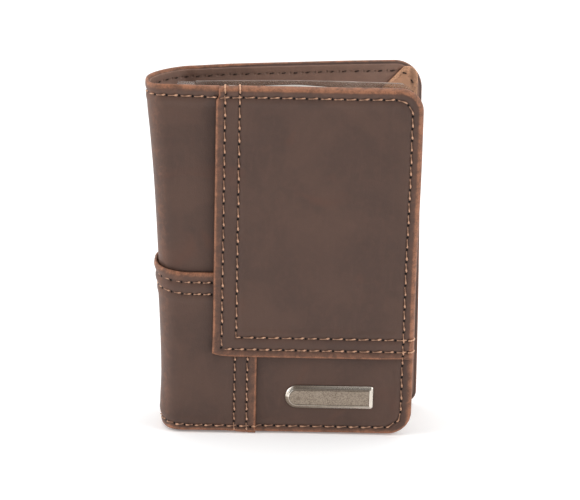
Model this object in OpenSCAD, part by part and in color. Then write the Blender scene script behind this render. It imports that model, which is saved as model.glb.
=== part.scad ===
// Pocket business-card book: a soft leather cover of two boarded panels and a
// flexible spine, with a bound stack of clear card sleeves inside.
// It stands upright on its lower edges, slightly open. X runs from the spine on the
// left to the fore-edge, Y from the front cover to the back cover, and Z up.

/* [Cover] */
// Height of the covers
cover_h = 114; // [104:1:124]
// Width of the front cover from the edge of the overlay panel to the fore-edge
cover_w = 64.1; // [60:0.1:72]
// Radius of the two fore-edge corners of each cover
corner_r = 7.5; // [5:0.5:10]
// Thickness of one layer of leather
leather_t = 0.8; // [0.7:0.05:0.9]
// Thickness of the stiffening board in each cover
board_t = 0.7; // [0.6:0.05:0.8]
// Thickness of the lining
lining_t = 0.5; // [0.4:0.05:0.6]
// Length of the back cover beyond the end of the spine curve
back_len = 75.2; // [70:0.1:80]

/* [Spine] */
// How far the spine stands out to the left of the overlay panel
spine_out = 19.5; // [18:0.5:21]
// Radius of the fold between the front cover and the spine
front_fold_r = 4.5; // [4:0.5:5]
// Radius of the curve between the spine and the back cover
back_fold_r = 14; // [13:0.5:15]
// Depth at which the flat middle of the spine ends and the back curve starts
spine_flat_end = 14.2; // [13:0.1:16]
// Angle that the back cover stands open from the front cover
open_deg = 11.5; // [10:0.5:13]

/* [Panels] */
// Height of the lower edge of the overlay panel
overlay_z = 25.8; // [22:0.2:30]
// Height of the upper edge of the lower wrap
wrap_z = 53.4; // [48:0.2:58]
// Right-hand edge of the lower wrap on the front cover
wrap_x = 14.1; // [12:0.1:16]
// Distance of the edge seam from the edge of the cover
seam_in = 3.45; // [3:0.05:4]
// Width of a thread
thread_w = 0.7; // [0.6:0.05:0.8]
// Thickness of a thread
thread_t = 0.45; // [0.4:0.05:0.5]

/* [Nameplate] */
// Length of the blank metal nameplate
plate_l = 28.3; // [26:0.1:30]
// Height of the blank metal nameplate
plate_h = 7.7; // [7:0.1:8]
// Left end of the nameplate
plate_x = 23.4; // [22:0.1:26]
// Lower edge of the nameplate
plate_z = 8.0; // [7.5:0.1:9]

/* [Sleeves] */
// Distance from one sleeve to the next
leaf_pitch = 0.62; // [0.6:0.01:0.64]
// Thickness of a sleeve over its pocket
leaf_t = 0.52; // [0.5:0.01:0.52]
// Thickness of the welded margin of a sleeve
weld_t = 0.26; // [0.22:0.01:0.26]
// Height of a sleeve
leaf_h = 110.8; // [100:0.2:110.8]
// Width of a business card
card_w = 51; // [50:0.5:52]
// Length of a business card
card_l = 89; // [85:0.5:89]

/* [Hidden] */
$fn = 64;
gap = 0.03;             // air between two layers that lie on each other
big = 200;              // larger than the whole object
over = 1;               // overrun of a cutter, or overlap of joined outlines

leather_c = "#61483f";
dark_c = "#4a352c";
thread_c = "#cf9f76";
board_c = "#8a7a66";
back_pocket_c = "#a27c64";
plate_c = "#968a7e";
washer_c = "#b8b2a4";
vinyl_c = "#d5dade";
vinyl_alpha = 0.5;
card_c = "#f1efe9";

// depths of the front layers, from the overlay's outer face at y = 0 inwards
layer_step = leather_t + gap;           // from one leather to the next
y_wrap = layer_step;                    // outer face of the lower wrap
y_base = 2 * layer_step;                // outer face of the base leather
y_board = y_base + layer_step;
y_lining = y_board + board_t + gap;
y_inner = y_lining + lining_t;          // inner face of the front cover
flap_t = 0.25;
y_flap = y_inner + 0.05;
pocket_t = 0.6;
y_pocket = y_flap + flap_t + 0.08;
y_leaf = y_pocket + pocket_t + 0.45;    // middle of the first sleeve

// the same on the back cover, inwards from the base leather's outer face
v_board = -layer_step;
v_lining = v_board - board_t - gap;
v_inner = v_lining - lining_t;

// outer faces in the wrapped cover, as offsets outwards from the base leather
base_face = 0;
wrap_face = layer_step;

// centres of the folds, and the point where the flat back cover starts
front_fold = [-(spine_out - front_fold_r), y_base + front_fold_r];
back_fold = [-(spine_out - back_fold_r), spine_flat_end];
sweep = 90 - open_deg;                  // angle of the back curve
back_start = [back_fold[0] - back_fold_r * cos(sweep),
              back_fold[1] + back_fold_r * sin(sweep)];

// the two bending lines, on the outer face of the lower wrap
front_bend = [front_fold[0] - (front_fold_r + wrap_face) * cos(45),
              front_fold[1] - (front_fold_r + wrap_face) * sin(45)];
back_bend = [back_fold[0] - (back_fold_r + wrap_face) * cos(sweep / 2),
             back_fold[1] + (back_fold_r + wrap_face) * sin(sweep / 2)];
bend_gap = 0.04;                        // from a bending line to the part on each side
bend_relief = 6.3;                      // half the angle of the wedge left open at the back bend

// the row frame: origin at the middle of the object's box, on the ground
box_x0 = -(spine_out + wrap_face);
box_x1 = back_start[0] + back_len * cos(open_deg) + leather_t * sin(open_deg);
box_y1 = back_start[1] + back_len * sin(open_deg);
shift = [-(box_x0 + box_x1) / 2, -box_y1 / 2, 0];

module put() { translate(shift) children(); }

// insets from the edge of the cover
lining_in = 0.8;
board_in = 1.6;
pocket_in = 1.2;
pocket_rim_in = 4.6;                    // inner edge of the rim that closes a pocket

// threads and their grooves
groove_w = thread_w + 0.12;
groove_t = thread_t + 0.06;
sink = 0.03;                            // threads lie this far below the leather face
end_gap = 0.1;                          // short of the end of a leather or a groove
thread_play = 0.05;                     // a thread stops this far inside its groove at the wrap
seam_top_z = cover_h - seam_in;
pocket_thread_t = 0.12;
pocket_thread_lift = 0.01;

wrap_rows = [3.3, 7.3];                 // rows of the lower wrap, from its edges
// rows of the overlay: distance of the column from its left edge, of the row from its foot
overlay_rows = [[2.8, 2.1], [7.3, 6.1]];
row_seam_gap = 0.4;                     // from the edge seam to the overlay's inner rows

// ---- plan-view ribbons that follow front cover, spine and back cover ----

// everything on the side of a line through a point that faces angle
module side_of(point, angle) {
  translate(point) rotate(angle) translate([bend_gap, -big]) square([2 * big, 2 * big]);
}
module left_half(x) { translate([-big, -big]) square([big + x, 2 * big]); }
module left_of(x) { translate([-big, -big, 0]) cube([big + x, 2 * big, big]); }

module front_zone() {
  intersection() {
    side_of(front_bend, -45);
    translate([-big, -big]) square([2 * big, big + spine_flat_end]);
  }
}
module front_zone_to(x) { intersection() { front_zone(); left_half(x); } }
module spine_zone() {
  intersection() {
    side_of(front_bend, 135);
    side_of(back_bend, 270 - sweep / 2 - bend_relief);
  }
}
module back_zone() {
  intersection() {
    side_of(back_bend, 90 - sweep / 2 + bend_relief);
    translate([-big, spine_flat_end]) square([2 * big, big]);
  }
}

// a band of the wrapped cover, between two offsets from the base leather's face
module band(outer, inner) {
  // front cover
  translate([front_fold[0], front_fold[1] - front_fold_r - outer])
    square([big / 2, outer - inner]);
  // front fold
  intersection() {
    translate(front_fold) difference() {
      circle(r = front_fold_r + outer);
      circle(r = front_fold_r + inner);
    }
    translate([front_fold[0] - big, front_fold[1] - big]) square([big, big]);
  }
  // flat of the spine
  translate([-spine_out - outer, front_fold[1]])
    square([outer - inner, back_fold[1] - front_fold[1]]);
  // back curve
  intersection() {
    translate(back_fold) difference() {
      circle(r = back_fold_r + outer);
      circle(r = back_fold_r + inner);
    }
    translate([back_fold[0] - big, back_fold[1]]) square([2 * big, big]);
    translate(back_fold) rotate(open_deg) translate([-big, -big]) square([big, 2 * big]);
  }
  // back cover
  translate(back_start) rotate(open_deg) translate([0, inner])
    square([back_len, outer - inner]);
}
module upright(z0, z1) { translate([0, 0, z0]) linear_extrude(z1 - z0) children(); }
module ribbon(outer, inner, z0, z1) { upright(z0, z1) band(outer, inner); }

// cutter for a level groove in the leather with its outer face at offset face
module groove_ribbon(face, z) {
  ribbon(face + over, face - groove_t, z - groove_w / 2, z + groove_w / 2);
}
// cutter for the edge seam and the rows of the lower wrap
module wrap_grooves() {
  for (z = [seam_in, wrap_z - wrap_rows[0], wrap_z - wrap_rows[1]])
    groove_ribbon(wrap_face, z);
}

// ---- elevation outlines of a cover, drawn in x and z ----

outline_run = 60;                       // length of an outline left of x = 0
min_corner_r = 0.8;

// outline of a cover of the given width, set in by inset, open-ended on the spine side
module outline(inset, width) {
  r = max(corner_r - inset, min_corner_r);
  arc_x = width - inset - r;
  translate([-outline_run, inset]) square([outline_run + arc_x, cover_h - 2 * inset]);
  translate([arc_x - over, inset + r]) square([r + over, cover_h - 2 * inset - 2 * r]);
  translate([arc_x, inset + r]) circle(r = r);
  translate([arc_x, cover_h - inset - r]) circle(r = r);
}
// a slab of an elevation drawing, from depth y to depth y + thick
module slab(y, thick) {
  translate([0, y + thick, 0]) rotate([90, 0, 0]) linear_extrude(thick) children();
}
module window(x0, x1, z0, z1) { translate([x0, z0]) square([x1 - x0, z1 - z0]); }
// the part of a drawing to the right of x
module trim_from(x) { intersection() { children(); window(x, big, -over, big); } }
// the edge seam of a cover, as a line of the given thickness
module seam(line_w, width) {
  difference() {
    outline(seam_in - line_w / 2, width);
    outline(seam_in + line_w / 2, width);
  }
}
// the rim that closes a pocket along the edges of a cover
module pocket_rim(width) {
  difference() { outline(pocket_in, width); outline(pocket_rim_in, width); }
}

// ---- front cover ----

flat_x0 = -12;                          // left edge of the lower leather and the board
front_lining_x0 = -14.6;
upper_x1 = 6;                           // right edge of the upper leather
upper_tuck = 12;                        // the upper leather goes this far below wrap_z
lower_drop = 14;                        // the lower leather ends this far below wrap_z
wrap_clear = 0.1;                       // between the lower wrap and the overlay round it
overlay_clear = 0.2;                    // below the overlay, clear of the seam groove
row_x1 = -0.4;                          // right end of the level grooves of the wrap
column_foot = 1;                        // from the edge seam to the wrap's upright grooves
column_head = 0.4;                      // from these grooves to the overlay
column_play = 0.2;                      // thread shorter than its groove, at each end

// one L-shaped row of the overlay: level above its foot, upright beside its left edge
module overlay_row(row, line_w) {
  x = row[0];
  z = overlay_z + row[1];
  window(x - line_w / 2, cover_w, z - line_w / 2, z + line_w / 2);
  window(x - line_w / 2, x + line_w / 2, z - line_w / 2, cover_h);
}
module overlay_face() {
  intersection() {
    outline(0, cover_w);
    window(0, cover_w + over, overlay_z, cover_h + over);
  }
}
module front_overlay_panel() color(leather_c) put() difference() {
  slab(0, y_base - gap) overlay_face();
  // the lower wrap runs on underneath
  translate([-over, leather_t, -over])
    cube([wrap_x + over + wrap_clear, big, wrap_z + over + wrap_clear]);
  slab(-over, over + groove_t) intersection() {
    overlay_face();
    seam(groove_w, cover_w);
  }
  slab(-over, over + groove_t) intersection() {
    outline(seam_in + groove_w / 2 + row_seam_gap, cover_w);
    union() for (row = overlay_rows) overlay_row(row, groove_w);
  }
}
module overlay_thread(row) {
  slab(sink, thread_t) intersection() {
    outline(seam_in + groove_w / 2 + row_seam_gap + end_gap, cover_w);
    overlay_row(row, thread_w);
  }
}
module overlay_outer_thread() color(thread_c) put() overlay_thread(overlay_rows[0]);
module overlay_inner_thread() color(thread_c) put() overlay_thread(overlay_rows[1]);

// base leather beside the spine, from behind the lower wrap to the top
module front_upper_leather() color(leather_c) put() difference() {
  intersection() {
    ribbon(base_face, -leather_t, wrap_z - upper_tuck, cover_h);
    upright(0, cover_h) front_zone_to(upper_x1);
  }
  intersection() { groove_ribbon(base_face, seam_top_z); left_of(0); }
}

// leather that wraps the lower end of the spine side
module front_lower_wrap() color(leather_c) put() difference() {
  intersection() {
    ribbon(wrap_face, gap, 0, wrap_z);
    upright(0, wrap_z) front_zone_to(wrap_x);
  }
  for (row = wrap_rows) {
    // rows round the spine
    intersection() { groove_ribbon(wrap_face, wrap_z - row); left_of(row_x1); }
    // columns beside the right-hand edge, below the overlay
    translate([wrap_x - row - groove_w / 2, -over, seam_in + column_foot])
      cube([groove_w, over + y_wrap + groove_t - gap,
            overlay_z - seam_in - column_foot - column_head]);
  }
  // edge seam
  intersection() { groove_ribbon(wrap_face, seam_in); left_of(wrap_x + over); }
}
// a level thread of the front cover, as far right as x1
module front_thread(face, z, x1) {
  intersection() {
    ribbon(face - sink, face - sink - thread_t, z - thread_w / 2, z + thread_w / 2);
    upright(0, cover_h) front_zone_to(x1);
  }
}
module wrap_thread(row) {
  column_z = seam_in + column_foot + column_play;
  front_thread(wrap_face, wrap_z - row, row_x1 - end_gap);
  translate([wrap_x - row - thread_w / 2, y_wrap + sink, column_z])
    cube([thread_w, thread_t, overlay_z - column_head - column_play - column_z]);
}
module wrap_outer_thread() color(thread_c) put() wrap_thread(wrap_rows[0]);
module wrap_inner_thread() color(thread_c) put() wrap_thread(wrap_rows[1]);

// prongs of the nameplate; widths and heights of what they pass through
prong_at = [6.5, 22.5];                 // from the left end of the nameplate
prong = [0.5, 1.8];
prong_hole = prong + [0.4, 0.4];        // in leather and board
washer_hole = prong + [0.2, 0.2];
washer = [4.8, 3.8];
washer_seat = washer + [0.4, 0.4];      // recess in the board
washer_t = 0.3;
hole_cut_t = 4;

// a rectangle centred on each prong
module at_prongs(size) {
  for (at = prong_at)
    translate([plate_x + at - size[0] / 2, plate_z + plate_h / 2 - size[1] / 2]) square(size);
}

module front_lower_leather() color(leather_c) put() difference() {
  slab(y_base, leather_t) intersection() {
    outline(0, cover_w);
    window(flat_x0, cover_w + over, 0, wrap_z - lower_drop);
  }
  slab(y_base - over, over + groove_t) intersection() {
    seam(groove_w, cover_w);
    window(wrap_x + end_gap, big, -over, overlay_z - overlay_clear);
  }
  slab(y_base - over, hole_cut_t) at_prongs(prong_hole);
}
module front_board() color(board_c) put() difference() {
  slab(y_board, board_t) trim_from(flat_x0) outline(board_in, cover_w);
  slab(y_board - over, hole_cut_t) at_prongs(prong_hole);
  slab(y_board + board_t - washer_t - 2 * gap, 2) at_prongs(washer_seat);
}
module front_lining() color(dark_c) put()
  slab(y_lining, lining_t) trim_from(front_lining_x0) outline(lining_in, cover_w);

// pocket on the inner face, open towards the spine
front_pocket_x = 26;
front_pocket_thread_in = 0.5;           // from the mouth to the thread's ends
module front_pocket() color(dark_c) put() {
  slab(y_pocket, pocket_t) trim_from(front_pocket_x) outline(pocket_in, cover_w);
  slab(y_inner + gap, y_pocket - y_inner - gap) trim_from(front_pocket_x) pocket_rim(cover_w);
}
module front_pocket_thread() color(thread_c) put()
  slab(y_pocket + pocket_t + pocket_thread_lift, pocket_thread_t)
    trim_from(front_pocket_x + front_pocket_thread_in) seam(thread_w, cover_w);

// edge seam of the front cover, over its four leathers
module front_edge_thread() color(thread_c) put() {
  slab(sink, thread_t) intersection() {
    seam(thread_w, cover_w);
    window(end_gap, big, overlay_z + end_gap, big);
  }
  slab(y_base + sink, thread_t) intersection() {
    seam(thread_w, cover_w);
    window(wrap_x + end_gap + thread_play, big,
           -over, overlay_z - overlay_clear - thread_play);
  }
  front_thread(wrap_face, seam_in, wrap_x - end_gap);
  front_thread(base_face, seam_top_z, -end_gap);
}

// ---- nameplate: left end round, right end square, raised rim ----

plate_out = 0.75;                       // its face, out from the lower leather
rim_out = 1.1;
rim_t = 0.4;
rim_in = [0.15, 1.0];                   // outer and inner edge of the rim, from the plate's edge
prong_root = 0.05;                      // overlap of the prongs and the plate
prong_short = 0.02;                     // prongs end this far inside the board's inner face

module plate_face(inset) {
  translate([plate_x + plate_h / 2, plate_z + plate_h / 2]) circle(r = plate_h / 2 - inset);
  translate([plate_x + plate_h / 2, plate_z + inset])
    square([plate_l - plate_h / 2 - inset, plate_h - 2 * inset]);
}
module nameplate() color(plate_c) put() {
  prong_y = y_base - gap - prong_root;
  slab(y_base - plate_out, plate_out - gap) plate_face(0);
  slab(y_base - rim_out, rim_t) difference() {
    plate_face(rim_in[0]);
    plate_face(rim_in[1]);
  }
  slab(prong_y, y_board + board_t - prong_short - prong_y) at_prongs(prong);
}
module nameplate_backing_washers() color(washer_c) put()
  slab(y_board + board_t - washer_t - gap, washer_t) difference() {
    at_prongs(washer);
    at_prongs(washer_hole);
  }

// ---- spine ----

module spine_part(outer, inner, z0, z1) {
  intersection() {
    ribbon(outer, inner, z0, z1);
    upright(z0, z1) spine_zone();
  }
}
module spine_thread(face, z) {
  spine_part(face - sink, face - sink - thread_t, z - thread_w / 2, z + thread_w / 2);
}
module spine_leather() color(leather_c) put() difference() {
  spine_part(base_face, -leather_t, 0, cover_h);
  groove_ribbon(base_face, seam_top_z);
}
module spine_lower_wrap() color(leather_c) put() difference() {
  spine_part(wrap_face, gap, 0, wrap_z);
  wrap_grooves();
}
module spine_lining() color(dark_c) put()
  spine_part(-layer_step, -layer_step - lining_t, lining_in, cover_h - lining_in);
module spine_edge_threads() color(thread_c) put() {
  spine_thread(base_face, seam_top_z);
  spine_thread(wrap_face, seam_in);
}
module spine_wrap_threads() color(thread_c) put()
  for (row = wrap_rows) spine_thread(wrap_face, wrap_z - row);

// ---- back cover: local x runs along the cover, local y points out of it ----

back_wrap_u = 21;                       // end of the lower wrap along the cover
back_seam_u0 = 0.6;                     // start of the seam groove in the flat cover
back_curve_u1 = -0.2;                   // end of the seam groove round the curve
back_board_u0 = 1.5;
back_lining_u0 = 0.3;
corner_cut_t = 16;

module back_frame() {
  translate([back_start[0], back_start[1], 0]) rotate([0, 0, open_deg]) children();
}
module back_slab(v, thick) { back_frame() slab(v, thick) children(); }
// what the two rounded fore-edge corners take off a square-cornered cover
module back_corners() {
  back_slab(-corner_cut_t / 2, corner_cut_t) for (top = [false, true]) difference() {
    translate([back_len - corner_r, top ? cover_h - corner_r : -over])
      square([corner_r + over, corner_r + over]);
    translate([back_len - corner_r, top ? cover_h - corner_r : corner_r])
      circle(r = corner_r);
  }
}
module back_part(outer, inner, z0, z1) {
  upright(z0, z1) intersection() { band(outer, inner); back_zone(); }
}
module back_thread(face, z) {
  back_part(face - sink, face - sink - thread_t, z - thread_w / 2, z + thread_w / 2);
}
// the edge seam of the flat cover from u0 on, interrupted by the lower wrap
module back_seam(line_w, u0, wrap_gap) {
  difference() {
    trim_from(u0) seam(line_w, back_len);
    window(-over, back_wrap_u + wrap_gap, -over, wrap_z);
  }
}
module back_leather() color(leather_c) put() difference() {
  back_part(base_face, -leather_t, 0, cover_h);
  back_corners();
  back_slab(-groove_t, over + groove_t) back_seam(groove_w, back_seam_u0, end_gap);
  // the seam goes on round the back curve in its own groove
  intersection() {
    groove_ribbon(base_face, seam_top_z);
    back_frame() left_of(back_curve_u1);
  }
}
module back_lower_wrap() color(leather_c) put() difference() {
  intersection() {
    back_part(wrap_face, gap, 0, wrap_z);
    back_frame() left_of(back_wrap_u);
  }
  wrap_grooves();
}
module back_wrap_threads() color(thread_c) put() intersection() {
  union() for (row = wrap_rows) back_thread(wrap_face, wrap_z - row);
  back_frame() left_of(back_wrap_u - end_gap);
}
module back_edge_thread() color(thread_c) put() {
  back_slab(-sink - thread_t, thread_t)
    back_seam(thread_w, back_seam_u0 + end_gap, end_gap + thread_play);
  intersection() {
    back_thread(base_face, seam_top_z);
    back_frame() left_of(back_curve_u1 - end_gap);
  }
  intersection() {
    back_thread(wrap_face, seam_in);
    back_frame() left_of(back_wrap_u - end_gap);
  }
}
module back_board() color(board_c) put()
  back_slab(v_board - board_t, board_t) trim_from(back_board_u0) outline(board_in, back_len);
module back_lining() color(dark_c) put()
  back_slab(v_inner, lining_t) trim_from(back_lining_u0) outline(lining_in, back_len);

// pocket on the inner face, with a mouth that falls at 45 degrees towards the spine
back_pocket_u0 = 6;
mouth_u1 = back_len - 6.5;              // upper end of the mouth
back_pocket_gap = 0.5;                  // room inside the pocket
back_rim_w = 3.4;                       // width of the rim on the spine side
back_rim_lap = 0.01;                    // overlap of the rim and the pocket leather
back_thread_in = 1.4;                   // from the spine-side edge to the upright thread
back_thread_edge = 2.4;                 // from the cover's edge to the threads' ends
v_rim = v_inner - gap - back_pocket_gap;
v_pocket = v_rim - pocket_t;

module back_pocket_face(inset) {
  intersection() {
    outline(inset, back_len);
    polygon([
      [back_pocket_u0, 0],
      [back_len + over, 0],
      [back_len + over, cover_h],
      [mouth_u1, cover_h - inset],
      [back_pocket_u0, cover_h - inset - (mouth_u1 - back_pocket_u0)]]);
  }
}
module back_pocket() color(back_pocket_c) put() {
  back_slab(v_pocket, pocket_t) back_pocket_face(pocket_in);
  back_slab(v_rim - back_rim_lap, back_pocket_gap + back_rim_lap) intersection() {
    back_pocket_face(pocket_in);
    union() {
      pocket_rim(back_len);
      window(back_pocket_u0, back_pocket_u0 + back_rim_w, -over, big);
    }
  }
}
module back_pocket_thread() color(thread_c) put()
  back_slab(v_pocket - pocket_thread_lift - pocket_thread_t, pocket_thread_t) intersection() {
    union() {
      seam(thread_w, back_len);
      translate([back_pocket_u0 + back_thread_in, 0]) window(0, thread_w, seam_in, big);
    }
    back_pocket_face(back_thread_edge);
  }

// ---- bound insert of clear sleeves ----

leaf_count = 12;
leaf_z0 = 1.2;
leaf_axis_x = -6.9;                     // line along which the sleeves bend
leaf_x0 = leaf_axis_x + 0.3;
leaf_x1 = cover_w - 2.2;
leaf_corner_r = 6;
thick_x0 = -1;                          // left edge of the thick part of a sleeve
thick_x1 = leaf_x1 - 4.6;
thick_z0 = leaf_z0 + 8;

bind_x0 = -12.3;
bind_x1 = leaf_axis_x - 0.5;
bind_gap = 0.02;                        // between the tuck flap and the binding
flap_x1 = cover_w - 6.5;
flap_in = 6;                            // from the ends of the cover to the flap

slot_t = 0.28;                          // card slot in a sleeve
slot_x0 = 3;
slot_z0 = leaf_z0 + 20.9;
slot_w = card_w + 1.6;
slot_over = 5;                          // the slot's cutter passes the cover's top by this
card_t = 0.24;
card_lift = 0.3;                        // from the foot of the slot to the card
// cards: number of the sleeve, distance from the left side of its slot
cards = [[1, 0.9], [2, 0.5], [3, 1.1], [5, 0.8], [6, 0.4], [8, 1.2], [9, 0.7], [11, 0.6]];

function leaf_y(number) = y_leaf + (number - 1) * leaf_pitch;

module insert_tuck_flap() color(vinyl_c, vinyl_alpha) put()
  slab(y_flap, flap_t) window(bind_x0, flap_x1, flap_in, cover_h - flap_in);
module insert_binding() color(vinyl_c, vinyl_alpha) put()
  translate([bind_x0, y_flap + flap_t + bind_gap, leaf_z0])
    cube([bind_x1 - bind_x0, leaf_y(leaf_count) + leaf_t / 2 - y_flap - flap_t, leaf_h]);

module leaf_outline() {
  r = leaf_corner_r;
  arc_x = leaf_x1 - r;
  translate([leaf_x0, leaf_z0]) square([arc_x - leaf_x0, leaf_h]);
  translate([arc_x - over, leaf_z0 + r]) square([r + over, leaf_h - 2 * r]);
  translate([arc_x, leaf_z0 + r]) circle(r = r);
  translate([arc_x, leaf_z0 + leaf_h - r]) circle(r = r);
}
// a slab centred in the thickness of a sleeve
module leaf_slab(number, thick) { slab(leaf_y(number) - thick / 2, thick) children(); }
module sleeve(number) color(vinyl_c, vinyl_alpha) put() difference() {
  union() {
    leaf_slab(number, weld_t) leaf_outline();
    leaf_slab(number, leaf_t) window(thick_x0, thick_x1, thick_z0, leaf_z0 + leaf_h);
  }
  leaf_slab(number, slot_t) window(slot_x0, slot_x0 + slot_w, slot_z0, cover_h + slot_over);
}
module card(number) color(card_c) put() {
  place = cards[number - 1];
  x = slot_x0 + place[1];
  z = slot_z0 + card_lift;
  leaf_slab(place[0], card_t) window(x, x + card_w, z, z + card_l);
}

front_overlay_panel();
front_upper_leather();
front_lower_wrap();
front_lower_leather();
front_board();
front_lining();
front_pocket();
front_edge_thread();
overlay_outer_thread();
overlay_inner_thread();
wrap_outer_thread();
wrap_inner_thread();
front_pocket_thread();
nameplate();
nameplate_backing_washers();
insert_tuck_flap();
insert_binding();
spine_leather();
spine_lower_wrap();
spine_lining();
spine_edge_threads();
spine_wrap_threads();
back_leather();
back_lower_wrap();
back_board();
back_lining();
back_pocket();
back_edge_thread();
back_wrap_threads();
back_pocket_thread();
sleeve(1);  // sleeve_01
sleeve(2);  // sleeve_02
sleeve(3);  // sleeve_03
sleeve(4);  // sleeve_04
sleeve(5);  // sleeve_05
sleeve(6);  // sleeve_06
sleeve(7);  // sleeve_07
sleeve(8);  // sleeve_08
sleeve(9);  // sleeve_09
sleeve(10);  // sleeve_10
sleeve(11);  // sleeve_11
sleeve(12);  // sleeve_12
card(1);  // card_01
card(2);  // card_02
card(3);  // card_03
card(4);  // card_04
card(5);  // card_05
card(6);  // card_06
card(7);  // card_07
card(8);  // card_08
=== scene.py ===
import bpy
import math
import numpy as np
from mathutils import Matrix, Vector
from mathutils.kdtree import KDTree


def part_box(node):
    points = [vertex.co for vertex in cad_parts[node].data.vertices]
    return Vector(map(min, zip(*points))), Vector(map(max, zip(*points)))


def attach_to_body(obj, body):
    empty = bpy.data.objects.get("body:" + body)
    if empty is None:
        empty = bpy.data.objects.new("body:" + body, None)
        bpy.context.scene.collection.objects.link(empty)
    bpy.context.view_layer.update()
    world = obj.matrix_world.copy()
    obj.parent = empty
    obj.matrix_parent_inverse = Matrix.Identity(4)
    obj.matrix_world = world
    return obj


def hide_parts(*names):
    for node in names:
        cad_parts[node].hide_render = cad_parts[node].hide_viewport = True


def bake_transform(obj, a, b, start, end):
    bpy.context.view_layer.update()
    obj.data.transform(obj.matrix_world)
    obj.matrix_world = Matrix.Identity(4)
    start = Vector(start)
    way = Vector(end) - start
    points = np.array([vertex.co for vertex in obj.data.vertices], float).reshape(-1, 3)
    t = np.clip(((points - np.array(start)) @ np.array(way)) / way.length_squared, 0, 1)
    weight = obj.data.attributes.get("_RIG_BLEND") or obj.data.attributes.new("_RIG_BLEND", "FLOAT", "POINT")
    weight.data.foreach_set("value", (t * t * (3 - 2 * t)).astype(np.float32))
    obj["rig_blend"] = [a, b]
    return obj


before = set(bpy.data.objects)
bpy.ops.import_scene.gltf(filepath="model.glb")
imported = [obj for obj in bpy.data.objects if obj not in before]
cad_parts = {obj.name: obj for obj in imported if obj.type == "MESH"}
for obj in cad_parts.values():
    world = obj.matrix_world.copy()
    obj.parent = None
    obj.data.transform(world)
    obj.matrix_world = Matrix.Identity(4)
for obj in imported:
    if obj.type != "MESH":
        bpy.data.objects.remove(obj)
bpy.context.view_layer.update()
MM = 0.001

overlay_lo, overlay_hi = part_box("front_overlay_panel")
ORIGIN_X, ORIGIN_Y = overlay_lo.x / MM, overlay_lo.y / MM


def box_mm(node):
    """x0, x1, z0, z1 of a CAD piece in the drawing frame."""
    lo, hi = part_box(node)
    return lo.x / MM - ORIGIN_X, hi.x / MM - ORIGIN_X, lo.z / MM, hi.z / MM


COVER_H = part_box("front_upper_leather")[1].z / MM
FRONT_W = (overlay_hi.x - overlay_lo.x) / MM
OVERLAY_Z = overlay_lo.z / MM              # lower edge of the overlay
_, WRAP_X, _, WRAP_Z = box_mm("front_lower_wrap")    # its right-hand and upper edges

# Offsets count outward from the base leather's outer face.
BASE_Y = 1.66                              # depth of the base leather below the overlay's face
OVERLAY_OUT = BASE_Y
WRAP_OUT = 0.83
OVERLAY_THIN, OVERLAY_RIM = 1.55, 3.42     # overlay thickness inside, and with its rolled rim

# The wrapped coordinate w equals x on the front and goes negative round the spine.
MID_SPINE = 27.0                           # -w at mid-spine
BACK_AT = 51.0                             # -w where the flat back cover starts
BACK_L = 75.2                              # length of the back cover from there
BACK_END = BACK_AT + BACK_L
BACK_START = np.array([-8.29, 27.92])      # x, y where the flat back cover starts
OPENING = math.radians(11.5)
FOOT_CLOSING = math.radians(8.0)

STITCH = 4.0                               # nominal stitch length, turns stitch counts into mm
FRONT_FOLD = -7.5                          # w where the front stitches pass on to the fold
BACK_FOLD = BACK_AT + 1.5                  # -w where the back stitches pass on to the fold


def hash01(i, s=0.0):
    """Repeatable number from 0 to 1."""
    v = np.sin(np.asarray(i, float) * 12.9898 + s * 78.233) * 43758.5453
    return v - np.floor(v)


def smooth(a, b, x):
    t = np.clip((np.asarray(x, float) - a) / (b - a), 0, 1)
    return t * t * (3 - 2 * t)


def bell(d, width, power=2):
    """1 where d is 0, falling away on both sides."""
    return np.exp(-(d / width) ** power)


def fade(d, width, power=1):
    """1 up to d = 0, falling away beyond."""
    return np.exp(-(np.maximum(d, 0) / width) ** power)


def most(*layers):
    return np.maximum.reduce(layers)


def as_field(value):
    """A function of k and z, from one or from a plain number."""
    if callable(value):
        return value
    return lambda k, z: np.full(np.shape(k), float(value))


def to_metres(x, y, z):
    return np.stack([(x + ORIGIN_X) * MM, (y + ORIGIN_Y) * MM, z * MM], -1)


# ------------------------------------------------------------------ the wrapped surface
# height, how far the spine stands out to the left of x = 0
SPINE_PROFILE = np.array([
    (-2, 15.2), (0, 15.6), (3, 16.1), (6, 16.2), (12, 15.8), (20, 15.9), (30, 16.3),
    (40, 16.8), (48, 17.4), (56, 18.0), (65, 18.5), (75, 19.1), (84, 19.7), (92, 20.4),
    (98, 20.9), (104, 21.6), (109, 22.0), (114, 22.3), (116, 22.4)])
GRID_Z = np.linspace(-2, 116, 119)
SPINE_OUT = np.interp(GRID_Z, *SPINE_PROFILE.T)
for _ in range(12):
    SPINE_OUT[1:-1] = 0.25 * SPINE_OUT[:-2] + 0.5 * SPINE_OUT[1:-1] + 0.25 * SPINE_OUT[2:]
MID_Y = 9.6                                # depth at which the two halves of the spine meet
FRONT_STEPS, BACK_STEPS = 181, 161


def bezier(p0, p1, p2, p3, count):
    t = np.linspace(0, 1, count)[:, None]
    p0, p1, p2, p3 = (np.asarray(p, float) for p in (p0, p1, p2, p3))
    return ((1 - t) ** 3 * p0 + 3 * (1 - t) ** 2 * t * p1
            + 3 * (1 - t) * t * t * p2 + t ** 3 * p3)


def run_length(points):
    """Distance along a polyline at each of its points."""
    return np.r_[0, np.cumsum(np.hypot(*np.diff(points, axis=0).T))]


def resample(points, count):
    run = run_length(points)
    s = np.linspace(0, run[-1], count)
    return np.c_[np.interp(s, run, points[:, 0]), np.interp(s, run, points[:, 1])]


def back_direction(z):
    """The back cover's direction in plan: a soft cover closes up a little towards its foot."""
    angle = OPENING - FOOT_CLOSING * (1 - smooth(-10, 112, z))
    return np.stack([np.cos(angle), np.sin(angle)], -1)


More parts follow.
